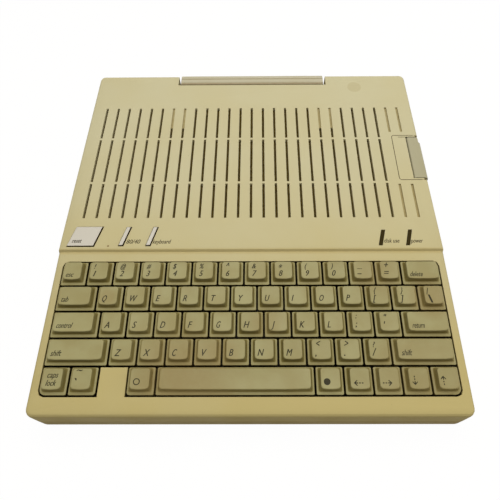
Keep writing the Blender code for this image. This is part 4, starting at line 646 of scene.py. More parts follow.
def tidy_form(form: bmesh.types.BMesh) -> None:
    """Join points that lie on one another, and turn all faces outwards."""
    bmesh.ops.remove_doubles(form, verts=form.verts, dist=SAME_PLACE)
    bmesh.ops.recalc_face_normals(form, faces=form.faces)


def place_object(name: str, mesh: bpy.types.Mesh, material: bpy.types.Material, angle: float = SHARP_ANGLE
                 ) -> bpy.types.Object:
    """Put a mesh in the scene as a piece, at the origin, smooth except over sharp edges.

    Args:
        name: Name of the piece.
        mesh: Its mesh.
        material: Its material.
        angle: Degrees over which an edge stays sharp.

    Returns:
        The new object.
    """
    mesh.name = name
    mesh.materials.clear()
    mesh.materials.append(material)
    mesh.shade_smooth()
    mesh.set_sharp_from_angle(angle=math.radians(angle))
    piece = bpy.data.objects.new(name, mesh)
    bpy.context.scene.collection.objects.link(piece)
    return piece


def carry(points: np.ndarray, place: Matrix | None) -> np.ndarray:
    """Carry points, of any leading shape, from a frame to the world.

    Args:
        points: Array whose last axis is x, y and z.
        place: The frame, or None for the world.

    Returns:
        Array of the same shape.
    """
    if place is None:
        return points
    turn = np.array(place.to_3x3())
    return points @ turn.T + np.array(place.translation)


def rounded_rings(low: np.ndarray, high: np.ndarray, radii: np.ndarray, corner_points: int, side_points: int
                  ) -> np.ndarray:
    """Rings round rectangles with round corners, counter-clockwise from the right front corner.

    A corner is the quarter circle c + r (cos a, sin a) round its centre c, and the points between two
    corners divide the straight side evenly.

    Args:
        low: Lowest corners, levels by 2.
        high: Highest corners, levels by 2.
        radii: Radius of each corner, levels by 4, from the right front corner round.
        corner_points: Points on each quarter circle.
        side_points: Points on each straight side, not counting its ends.

    Returns:
        Array of levels by points by 2.
    """
    x = np.stack((high[:, 0], high[:, 0], low[:, 0], low[:, 0]), -1)
    y = np.stack((low[:, 1], high[:, 1], high[:, 1], low[:, 1]), -1)
    inwards = np.array([[-1, 1], [-1, -1], [1, -1], [1, 1]], float)
    centres = np.stack((x, y), -1) + radii[..., None] * inwards
    angles = (np.arange(4)[:, None] - 1 + np.linspace(0, 1, corner_points)) * QUARTER_TURN
    ways = np.stack((np.cos(angles), np.sin(angles)), -1)
    arcs = centres[:, :, None] + radii[..., None, None] * ways
    share = (np.arange(side_points) + 1)[:, None] / (side_points + 1)
    ends = arcs[:, :, -1:, :]
    starts = np.roll(arcs, -1, axis=1)[:, :, :1, :]
    sides = ends + (starts - ends) * share
    return np.concatenate((arcs, sides), 2).reshape(len(low), -1, 2)


def turned_rings(profile: Sequence[tuple[float, float]], count: int) -> np.ndarray:
    """Rings of a turned form about Z: each profile point (r, z) becomes r (cos a, sin a) at z.

    Args:
        profile: Radius and height of each level.
        count: Points round each ring.

    Returns:
        Array of levels by points by 3.
    """
    radius, height = np.array(profile, float).T
    angle = np.arange(count) * (2 * math.pi / count)
    x = radius[:, None] * np.cos(angle)
    y = radius[:, None] * np.sin(angle)
    return np.stack((x, y, np.broadcast_to(height[:, None], x.shape)), -1)


def with_heights(flat: np.ndarray, heights: Sequence[float]) -> np.ndarray:
    """Give flat rings, levels by points by 2, the height of each level as their third coordinate."""
    level = np.asarray(heights, float)[:, None, None]
    return np.concatenate((flat, np.broadcast_to(level, flat.shape[:2] + (1,))), -1)


def outline_rings(outline: np.ndarray, heights: Sequence[float]) -> np.ndarray:
    """Rings of a prism, levels by points by 3: the same outline, counter-clockwise, at each height."""
    return with_heights(np.broadcast_to(outline, (len(heights), *outline.shape)), heights)


# Places on the case


@dataclass(frozen=True)
class Deck:
    """A sloping plane of the case top, on which X runs across, Y up the slope and Z out of it."""

    start_y: float
    start_z: float
    slope: float

    def at(self, x: float = 0.0, along: float = 0.0, out: float = 0.0) -> Matrix:
        """Frame on the deck with its origin at a place on it."""
        start = Matrix.Translation((0, self.start_y, self.start_z)) @ Matrix.Rotation(self.slope, 4, "X")
        return start @ Matrix.Translation((x, along, out))

    def height_at(self, y: np.ndarray) -> np.ndarray:
        """Height of the plane at each place in plan."""
        return self.start_z + (y - self.start_y) * math.tan(self.slope)


# Stains on the keys: column in pitches, row, reach and fade in millimetres, and strength
KEY_STAINS = ((-2.4, 0, 8.0, 45.0, 0.7), (4.75, 4, 10.0, 14.0, 0.35), (6.6, 3, 7.0, 14.0, 0.6),
              (5.9, 0, 22.0, 18.0, 0.3), (-1.0, 1, 4.0, 12.0, 0.4), (0.6, 2, 5.0, 10.0, 0.4),
              (-5.3, 3, 3.0, 5.0, 0.4))


@dataclass(frozen=True)
class CaseForm:
    """Driving sizes of the case, and the places that follow from them and from the frame."""

    key_pitch: float = 19.05 * MM
    key_gap: float = 1.3 * MM
    rows: int = 5
    field_pitches: float = 14.5
    front_margin: float = 12.5 * MM
    rear_margin: float = 8.2 * MM
    front_height: float = 32.6 * MM
    rear_height: float = 63.5 * MM
    key_slope: float = math.radians(7.5)
    crease_rise: float = 2.0 * MM
    wall: float = 2.5 * MM
    blind_depth: float = 1.2 * MM
    seam: float = 16.0 * MM
    side_draft: float = math.radians(2.6)
    key_stain: Colour = (0.300, 0.222, 0.082)
    fit: float = 0.3 * MM
    bay_depth: float = 13.0 * MM
    burnt_dot: tuple[float, float] = (-106.9 * MM, 4.0 * MM)
    ring_stain: tuple[float, float] = (95.0 * MM, 172.6 * MM)
    stain_height: float = 4.0 * MM

    @property
    def front(self) -> float:
        """Front face of the case."""
        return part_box("upper_case")[0].y

    @property
    def rear(self) -> float:
        """Rear face of the case."""
        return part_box("upper_case")[1].y

    @property
    def half_width(self) -> float:
        """Half of the case's width at the seam."""
        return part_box("lower_case")[1].x

    def half_width_at(self, height: np.ndarray) -> np.ndarray:
        """Half width at each height, as the side walls lean in above the seam."""
        return self.half_width - (height - self.seam) * math.tan(self.side_draft)

    @property
    def key_deck_run(self) -> float:
        """Length of the key deck in plan."""
        length = self.front_margin + self.rows * self.key_pitch + self.rear_margin
        return length * math.cos(self.key_slope)

    @property
    def crease(self) -> float:
        """Place of the crease between the decks."""
        return self.front + self.key_deck_run

    @property
    def crease_top(self) -> float:
        """Height of the vent deck's plane at the crease."""
        return self.front_height + self.key_deck_run * math.tan(self.key_slope) + self.crease_rise

    def key_deck(self) -> Deck:
        """Deck under the keys."""
        return Deck(self.front, self.front_height, self.key_slope)

    def vent_deck(self) -> Deck:
        """Deck with the cooling slots."""
        slope = math.atan2(self.rear_height - self.crease_top, self.rear - self.crease)
        return Deck(self.crease, self.crease_top, slope)

    def marks(self) -> tuple[Mark, ...]:
        """Marks on the case: dust and painted shade along the crease, a burnt dot by the switches and a faint
        ring.
        """
        crease = (0.0, self.crease, self.crease_top - self.crease_rise * 0.45)
        dot, ring = (tuple(self.vent_deck().at(*place).translation)
                     for place in (self.burnt_dot, self.ring_stain))
        # The crease mark is dust with painted shade along the step between the decks
        return (Mark(crease, radius=1.3 * MM, softness=1.6 * MM, colour=(0.470, 0.345, 0.100), strength=0.35,
                     endless=True),
                Mark(dot, radius=0.45 * MM, softness=0.6 * MM, colour=(0.160, 0.085, 0.020), strength=0.85),
                Mark(ring, radius=5.6 * MM, softness=1.4 * MM, colour=(0.490, 0.420, 0.225), strength=0.55))

    def handle_shade_marks(self) -> tuple[Mark, ...]:
        """Painted brown shade, with some dirt, along the front edge of the handle's grip."""
        low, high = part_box("carry_handle")
        return (Mark((0.0, low.y, high.z - 0.4 * MM), radius=1.0 * MM, softness=3.0 * MM,
                     colour=(0.235, 0.170, 0.070), strength=0.75, endless=True),)

    def key_marks(self) -> tuple[Mark, ...]:
        """Tan stains on the keys, each at its place on the key deck."""
        deck, stains = self.key_deck(), []
        for column, row, reach, fade, strength in KEY_STAINS:
            along = self.front_margin + (row + 0.5) * self.key_pitch
            place = deck.at(column * self.key_pitch, along, self.stain_height)
            stains.append(Mark(tuple(place.translation), reach * MM, fade * MM, self.key_stain, strength))
        return tuple(stains)


# Pieces and how they are reported


def report(piece: bpy.types.Object, body: str, slot: Slot, *replaced: str) -> bpy.types.Object:
    """Make a piece ride on its body, hide the nodes that it replaces, and write it to the log.

    Args:
        piece: The finished piece.
        body: Body that it moves with.
        slot: Record slot of its finish; not used.
        replaced: CAD nodes that it stands for.

    Returns:
        The piece.
    """
    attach(piece, body)
    if replaced:
        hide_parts(*replaced)
    log.info("%s rides on %s with %d faces", piece.name, body, len(piece.data.polygons))
    return piece


@dataclass(frozen=True)
class Softener:
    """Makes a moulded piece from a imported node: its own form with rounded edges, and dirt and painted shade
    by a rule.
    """

    bevel: float = 0.35 * MM
    segments: int = 2
    edge_angle: float = math.radians(24.0)
    merge: float = 0.002 * MM
    flat_angle: float = math.radians(0.6)

    def make(self, node: str, name: str, material: bpy.types.Material,
             dirt_and_shade_of: Callable[[np.ndarray], np.ndarray] | None = None) -> bpy.types.Object:
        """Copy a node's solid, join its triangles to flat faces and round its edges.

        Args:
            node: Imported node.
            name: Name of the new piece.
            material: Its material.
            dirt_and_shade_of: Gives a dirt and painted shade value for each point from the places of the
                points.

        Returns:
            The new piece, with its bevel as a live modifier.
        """
        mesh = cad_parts[node].data.copy()
        with editing(mesh) as form:
            bmesh.ops.remove_doubles(form, verts=form.verts, dist=self.merge)
            bmesh.ops.dissolve_limit(form, angle_limit=self.flat_angle, verts=form.verts, edges=form.edges)
        if dirt_and_shade_of:
            store_dirt_and_shade(mesh, dirt_and_shade_of(read_vectors(mesh.vertices, "co")))
        piece = place_object(name, mesh, material)
        bevel = piece.modifiers.new("rounded edges", "BEVEL")
        bevel.width = self.bevel
        bevel.segments = self.segments
        bevel.limit_method = "ANGLE"
        bevel.angle_limit = self.edge_angle
        bevel.harden_normals = True
        bevel.use_clamp_overlap = True
        return piece


@dataclass(frozen=True)
class Assembly:
    """A sub-assembly of the computer, with the case's sizes and the materials that it is made with."""

    form: CaseForm
    paints: Paints

    def mould(self, node: str, name: str, finish: FinishName, slot: Slot, soft: Softener = Softener(),
              body: str = Body.CASE.value, dirt_and_shade_of: Callable[[np.ndarray], np.ndarray] | None = None
              ) -> bpy.types.Object:
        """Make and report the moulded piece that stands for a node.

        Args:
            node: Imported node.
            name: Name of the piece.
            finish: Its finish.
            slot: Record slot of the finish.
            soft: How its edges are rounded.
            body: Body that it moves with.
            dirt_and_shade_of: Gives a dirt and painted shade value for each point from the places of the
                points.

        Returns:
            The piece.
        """
        return report(soft.make(node, name, self.paints[finish], dirt_and_shade_of), body, slot, node)

    def lay(self, skin: Skin, name: str, finish: FinishName, slot: Slot, *replaced: str,
            body: str = Body.CASE.value, angle: float = SHARP_ANGLE) -> None:
        """Make and report the piece that a skin holds.

        Args:
            skin: Its points and faces.
            name: Name of the piece.
            finish: Its finish.
            slot: Record slot of the finish.
            replaced: CAD nodes that it stands for.
            body: Body that it moves with.
            angle: Degrees over which an edge stays sharp.
        """
        report(place_object(name, skin.to_mesh(name), self.paints[finish], angle), body, slot, *replaced)

    def paint(self, piece: bpy.types.Object, finish: FinishName,
              chosen: Callable[[np.ndarray, np.ndarray], np.ndarray]) -> None:
        """Give a second finish to the faces of a piece that a rule picks.

        Args:
            piece: Piece to paint.
            finish: Finish for the picked faces.
            chosen: Says for each face, from its centre and normal, whether it is picked.
        """
        faces, materials = piece.data.polygons, piece.data.materials
        picked = chosen(read_vectors(faces, "center"), read_vectors(faces, "normal"))
        materials.append(self.paints[finish])
        indices = np.empty(len(faces), np.int32)
        faces.foreach_get("material_index", indices)
        indices[picked] = len(materials) - 1
        faces.foreach_set("material_index", indices)


@dataclass(frozen=True)
class Casing(Assembly):
    """Upper and lower case, handle, feet and case screws."""

    shell_round: float = 0.5 * MM
    foot_edge: float = 1.0 * MM
    foot_tread: float = 0.35 * MM
    tread_shares: tuple[tuple[float, bool], ...] = ((0.30, True), (0.34, False), (0.62, False), (0.66, True),
                                                    (0.72, True), (0.76, False))
    foot_points: int = 40
    foot_dirt: float = 0.3
    screw_radius: float = 2.7 * MM
    screw_head: float = 1.6 * MM
    screw_recess: float = 0.9 * MM
    screw_gap: float = 0.1 * MM
    screw_fall: float = 0.8
    screw_hub_share: float = 0.06
    screw_points: int = 64
    screw_rings: int = 14
    screw_dirt: float = 0.4
    cross_width: float = 0.45 * MM
    cross_reach: float = 1.5 * MM
    well_roof: float = 7.2 * MM
    well_inset: float = 9.0 * MM
    board_margin: float = 4.0 * MM
    control_strip: float = 24.0 * MM
    screen_left: float = -134.0 * MM
    screen_right: float = 114.0 * MM
    screen_start: float = 26.0 * MM
    screen_end: float = 160.0 * MM
    screen_gap: float = 0.2 * MM
    screen_thickness: float = 0.3 * MM
    grip_line: float = 7.6 * MM
    grip_line_half: float = 0.9 * MM
    grip_line_depth: float = 0.35 * MM
    grip_top: float = 2.0 * MM
    grip_line_shade: float = 0.45
    # Painted shade, with some dirt, under the decks: it grows over this depth, spares this strip at the
    # case's edges, and has these shares on blind and open slot walls
    dirt_and_shade_run: float = 1.0 * MM
    edge_strip: float = 3.2 * MM
    blind_dirt_and_shade: float = 0.36
    slot_dirt_and_shade: float = 0.10

    def make(self) -> None:
        """Make the casing's pieces."""
        self.mould("upper_case", "upper_shell", FinishName.CASE, Slot.CASE, Softener(self.shell_round),
                   dirt_and_shade_of=self.deck_dirt_and_shade)
        self.mould("lower_case", "bottom_pan", FinishName.CASE_BOTTOM, Slot.CASE)
        handle = self.mould("carry_handle", "swing_handle", FinishName.HANDLE, Slot.CASE,
                            body=Body.HANDLE.value)
        self.score_grip(handle.data)
        self.make_screen()
        self.make_feet()
        self.make_screws()

    def deck_dirt_and_shade(self, places: np.ndarray) -> np.ndarray:
        """Dirt and painted shade for the points of the upper case: all that lies under the decks, such as the
        key well and slot walls.

        Args:
            places: Points of the shell.

        Returns:
            Dirt and painted shade value of each point.
        """
        form = self.form
        y, z = places[:, 1], places[:, 2]
        height = np.where(y < form.crease, form.key_deck().height_at(y), form.vent_deck().height_at(y))
        from_ends = np.minimum(y - form.front, form.rear - y)
        inner = np.minimum(form.half_width_at(z) - np.abs(places[:, 0]), from_ends)
        sunk = height - z - form.fit
        low = np.clip(sunk / self.dirt_and_shade_run, 0, 1)
        in_slot = np.where(sunk < form.blind_depth + form.fit, self.blind_dirt_and_shade * low, self.slot_dirt_and_shade)
        return np.where(y < form.crease + self.control_strip, low, in_slot) * (inner > self.edge_strip)

    def score_grip(self, mesh: bpy.types.Mesh) -> None:
        """Press a line along the top of the handle's grip: it sinks by the share 1 - |y - line| / half width,
        and that share paints shade in it.

        Args:
            mesh: Mesh of the handle.
        """
        low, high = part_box("carry_handle")
        line = low.y + self.grip_line
        with editing(mesh) as form:
            for place in (line - self.grip_line_half, line, line + self.grip_line_half):
                bmesh.ops.bisect_plane(form, geom=form.verts[:] + form.edges[:] + form.faces[:],
                                       plane_co=(0, place, 0), plane_no=(0, 1, 0))
        places = read_vectors(mesh.vertices, "co")
        share = np.clip(1 - np.abs(places[:, 1] - line) / self.grip_line_half, 0, 1)
        share *= places[:, 2] > high.z - self.grip_top
        places[:, 2] -= share * self.grip_line_depth
        mesh.vertices.foreach_set("co", places.ravel())
        # The pressed line is painted darker by its share: painted shade in the line
        store_dirt_and_shade(mesh, self.grip_line_shade * share)

    def make_screen(self) -> None:
        """Make the thin dust screen that lies under the open cooling slots."""
        skin = Skin()
        top = -self.form.wall - self.screen_gap
        skin.add_block((self.screen_left, self.screen_start, top - self.screen_thickness),
                       (self.screen_right, self.screen_end, top), self.form.vent_deck().at())
        self.lay(skin, "dust_screen", FinishName.SCREEN, Slot.DARK)

    def make_feet(self) -> None:
        """Make the four turned rubber feet, each with a shallow ringed tread."""
        for side in ("front_left", "front_right", "rear_left", "rear_right"):
            node = "foot_" + side
            low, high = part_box(node)
            radius, edge, tread = (high.x - low.x) / 2, self.foot_edge, self.foot_tread
            profile = [(radius * share, tread * sunk) for share, sunk in self.tread_shares]
            profile += [(radius - edge, 0.0), (radius - edge * 0.3, edge * 0.3), (radius, edge),
                        (radius, high.z)]
            middle = np.array([(low.x + high.x) / 2, (low.y + high.y) / 2, 0.0])
            skin = Skin()
            skin.add_rings(turned_rings(profile, self.foot_points) + middle, self.foot_dirt,
                           middle + (0, 0, tread), middle + (0, 0, high.z))
            self.lay(skin, "rubber_" + node, FinishName.RUBBER, Slot.RUBBER, node, angle=ROUND_ANGLE)

    def screw_places(self) -> Iterator[tuple[float, float]]:
        """Middle of each screw well under the case."""
        form = self.form
        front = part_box("logic_board")[0].y + self.well_inset
        rear = form.rear - form.bay_depth - form.wall - form.fit - self.well_inset
        left = -(form.half_width - form.wall - self.board_margin) + self.well_inset
        for x in (left, 0.0, -left):
            for y in (front, rear):
                yield x, y

    def make_screws(self) -> None:
        """Make the case screws: turned heads whose face sinks where |x| or |y| is small, as a cross."""
        top = self.well_roof - self.screw_gap
        shares = np.linspace(1.0, self.screw_hub_share, self.screw_rings)
        head = turned_rings([(self.screw_radius * share, 0.0) for share in shares], self.screw_points)
        reach = np.hypot(head[..., 0], head[..., 1])
        cross = np.minimum(np.abs(head[..., 0]), np.abs(head[..., 1])) < self.cross_width
        fall = (reach / self.screw_radius) ** 2 * self.screw_fall
        dome = self.screw_head * np.sqrt(np.clip(1 - fall, 0, 1))
        head[..., 2] = top - dome + self.screw_recess * (cross & (reach < self.cross_reach))
        base = turned_rings([(self.screw_radius, top)], self.screw_points)
        rings = np.concatenate((base, head))[::-1]
        poles = np.array([(0.0, 0.0, top - self.screw_head + self.screw_recess), (0.0, 0.0, top)])
        for number, (x, y) in enumerate(self.screw_places(), 1):
            skin = Skin()
            skin.add_rings(rings + (x, y, 0.0), self.screw_dirt, *(poles + (x, y, 0.0)))
            self.lay(skin, f"case_screw_{number}", FinishName.SCREW, Slot.METAL)


# Keyboard


@dataclass(frozen=True)
class Key:
    """One key: its name, its width in pitches and its legends from the lowest up."""

    name: str
    width: float
    legends: tuple[str, ...] = ()


def plain_keys(letters: str) -> tuple[Key, ...]:
    """Keys of one pitch for plain letters."""
    return tuple(Key(letter, 1, (letter.upper(),)) for letter in letters)


def shifted_keys(*pairs: tuple[str, str]) -> tuple[Key, ...]:
    """Keys of one pitch with a lower and an upper sign, from name and signs."""
    return tuple(Key(name, 1, tuple(signs)) for name, signs in pairs)


SPACE_ROW = (Key("caps_lock", 1, ("lock", "caps")), Key("grave", 1, ("`", "~")), Key("", 1),
             Key("mark_left", 1, ("ring",)), Key("space", 5.5), Key("mark_right", 1, ("disc",)),
             Key("arrow_left", 1, ("left",)), Key("arrow_right", 1, ("right",)),
             Key("arrow_down", 1, ("down",)), Key("arrow_up", 1, ("up",)))
LOWER_ROW = (Key("shift_left", 2.25, ("shift",)), *plain_keys("zxcvbnm"),
             *shifted_keys(("comma", ",<"), ("period", ".>"), ("slash", "/?")),
             Key("shift_right", 2.25, ("shift",)))
HOME_ROW = (Key("control", 1.75, ("control",)), *plain_keys("asdfghjkl"),
            *shifted_keys(("semicolon", ";:"), ("quote", "'\"")), Key("return", 1.75, ("return",)))
UPPER_ROW = (Key("tab", 1.5, ("tab",)), *plain_keys("qwertyuiop"),
             *shifted_keys(("bracket_left", "[{"), ("bracket_right", "]}"), ("backslash", "\\|")))
NUMBER_ROW = (Key("esc", 1, ("esc",)),
              *shifted_keys(("1", "1!"), ("2", "2@"), ("3", "3#"), ("4", "4$"), ("5", "5%"), ("6", "6^"),
                            ("7", "7&"), ("8", "8*"), ("9", "9("), ("0", "0)"), ("minus", "-_"),
                            ("equals", "=+")), Key("delete", 1.5, ("delete",)))
KEY_ROWS = (SPACE_ROW, LOWER_ROW, HOME_ROW, UPPER_ROW, NUMBER_ROW)
# Width of each word, then its way across and up, in millimetres
WORD_PLACES = {"esc": (6.3, 0.0, -0.5), "tab": (6.1, 0.0, -0.2), "control": (11.4, 0.3, 0.1),
               "delete": (10.0, -0.3, -0.8), "return": (9.2, 0.6, -0.4), "shift": (7.7, 0.3, 0.1),
               "caps": (8.0, 0.8, 0.1), "lock": (7.5, 0.8, 0.0)}
# Size of each mark, then its way across and the height of its foot, in millimetres
MARK_PLACES = {"ring": (4.4, 0.3, 1.95), "disc": (4.4, 0.0, 1.75), "left": (6.2, 0.3, 0.0),
               "right": (6.2, -0.1, 0.0), "down": (5.9, -1.2, 1.7), "up": (5.9, -1.7, 1.7)}
# Way across and way up of the signs that stand elsewhere than the others, in millimetres
SIGN_SHIFTS = {"~": (-0.3, 2.3), "`": (-1.4, -1.2), "\\": (-0.9, -1.3), "*": (-0.3, -1.9),
               "'": (-0.4, -0.6), '"': (-0.3, -0.7), ";": (0.0, 0.6), ":": (-0.2, 0.6), "/": (-0.1, 0.1),
               "?": (0.0, -0.2), "|": (-0.6, 0.0)}
# How much wider and taller some signs are than in the plain font
SIGN_SCALES = {"-": (2.2, 1.0), "_": (1.5, 1.0), "=": (1.25, 1.1), "+": (1.3, 1.3), "<": (1.1, 1.3),
               ">": (1.1, 1.3), "`": (1.9, 1.5), "\\": (3.0, 1.35), "/": (1.2, 1.15), "@": (0.8, 1.0),
               "*": (1.3, 1.3), "^": (1.2, 1.2), "~": (1.5, 1.2), ".": (1.4, 1.2), ",": (1.3, 1.1),
               "'": (1.3, 1.1), '"': (1.3, 1.1), ":": (1.2, 1.0), ";": (1.2, 1.0), "1": (1.1, 1.0)}
# Width of capitals and signs as a share of the plain font's
CAPITAL_SHARE, SIGN_SHARE = 0.76, 0.84
CAPITAL_SHARES = dict.fromkeys("OQCG", 0.60) | {"D": 0.68, "U": 0.68, "W": 0.70, "M": 0.74}


@dataclass(frozen=True)
class Legends:
    """Makes legends: narrow slanted lettering and plain marks, as thin closed solids."""

    slant: float = 0.25
    boldness: float = 0.09 * MM
    thickness: float = 0.05 * MM
    copy_lift: float = 0.004 * MM
    curve_steps: int = 3
    font_capital: float = 0.729
    mark_points: int = 28
    ring_share: float = 0.36
    dashes: int = 3
    dash_share: float = 0.62

    def lettering(self, text: str, height: float, narrowing: float = CAPITAL_SHARE, width: float | None = None
                  ) -> bpy.types.Mesh:
        """Flat lettering from x 0 on, with its foot at y 0 and its middle plane at z 0.

        Its strokes are thickened by laying copies of it side by side.

        Args:
            text: What it says.
            height: Height of its capitals.
            narrowing: Share of the plain font's width.
            width: Width that all of it takes, instead of a share.

        Returns:
            A mesh of closed letters.
        """
        curve = bpy.data.curves.new("lettering", "FONT")
        curve.body = text
        curve.size = height / self.font_capital
        curve.extrude = self.thickness
        curve.resolution_u = self.curve_steps
        holder = bpy.data.objects.new("lettering", curve)
        mesh = bpy.data.meshes.new_from_object(holder)
        bpy.data.objects.remove(holder)
        bold, lift = self.boldness, self.copy_lift
        across = read_vectors(mesh.vertices, "co")[:, 0]
        if width:
            narrowing = (width - self.slant * height - 2 * bold) / (across.max() - across.min())
        mesh.transform(Matrix(((narrowing, self.slant, 0, bold - narrowing * across.min()),
                               (0, 1, 0, 0), (0, 0, 1, 0), (0, 0, 0, 1))))
        with editing(mesh) as form:
            tidy_form(form)
            first = form.verts[:] + form.edges[:] + form.faces[:]
            bmesh.ops.translate(form, verts=form.verts, vec=(-bold, 0, 0))
            for way in ((2 * bold, 0.0, lift), (bold, bold / 2, 2 * lift)):
                copy = bmesh.ops.duplicate(form, geom=first)["geom"]
                points = [part for part in copy if isinstance(part, bmesh.types.BMVert)]
                bmesh.ops.translate(form, verts=points, vec=way)
        return mesh

    def mark(self, kind: str, size: float) -> bpy.types.Mesh:
        """Plain mark or arrow, with the same foot and middle plane as lettering.

        Args:
            kind: Ring, disc, left, right, down or up.
            size: Height of the mark.

        Returns:
            A closed mesh.
        """
        skin = Skin()
        levels = (-self.thickness, self.thickness)
        angle = np.arange(self.mark_points) * (2 * math.pi / self.mark_points)
        ways = np.stack((np.cos(angle), np.sin(angle)), -1)
        outer, inner = (outline_rings(ways * radius + size / 2, levels)
                        for radius in (size / 2, size * self.ring_share))
        if kind == "disc":
            skin.add_rings(outer)
        elif kind == "ring":
            skin.add_hoop(np.concatenate((inner[:1], outer, inner[::-1])))
        else:
            for outline in self.arrow(kind, size):
                skin.add_rings(outline_rings(outline, levels))
        mesh = skin.to_mesh("mark")
        with editing(mesh) as form:
            tidy_form(form)
        return mesh

    def arrow(self, kind: str, size: float) -> list[np.ndarray]:
        """Outlines of a dashed arrow that points right, turned a quarter for the other ways.

        Args:
            kind: Left, right, down or up.
            size: Length of the arrow.

        Returns:
            Outlines of points by 2, counter-clockwise.
        """
        head, barb, stroke = 0.29 * size, 0.28 * size, 0.13 * size
        tail, half = size - stroke * 1.2, stroke * 0.42
        outlines = [np.array([(size, 0), (size - head, barb), (size - head - stroke, barb), (tail, 0),
                              (size - head - stroke, -barb), (size - head, -barb)])]
        dash = tail / self.dashes
        for number in range(self.dashes):
            low = tail * number / self.dashes
            high = tail if number == self.dashes - 1 else low + dash * self.dash_share
            outlines.append(np.array([(low, -half), (high, -half), (high, half), (low, half)]))
        angle = {"right": 0, "up": 1, "left": 2, "down": 3}[kind] * QUARTER_TURN
        turn = np.array([[math.cos(angle), math.sin(angle)], [-math.sin(angle), math.cos(angle)]])
        return [(outline - (size / 2, 0)) @ turn + size / 2 for outline in outlines]


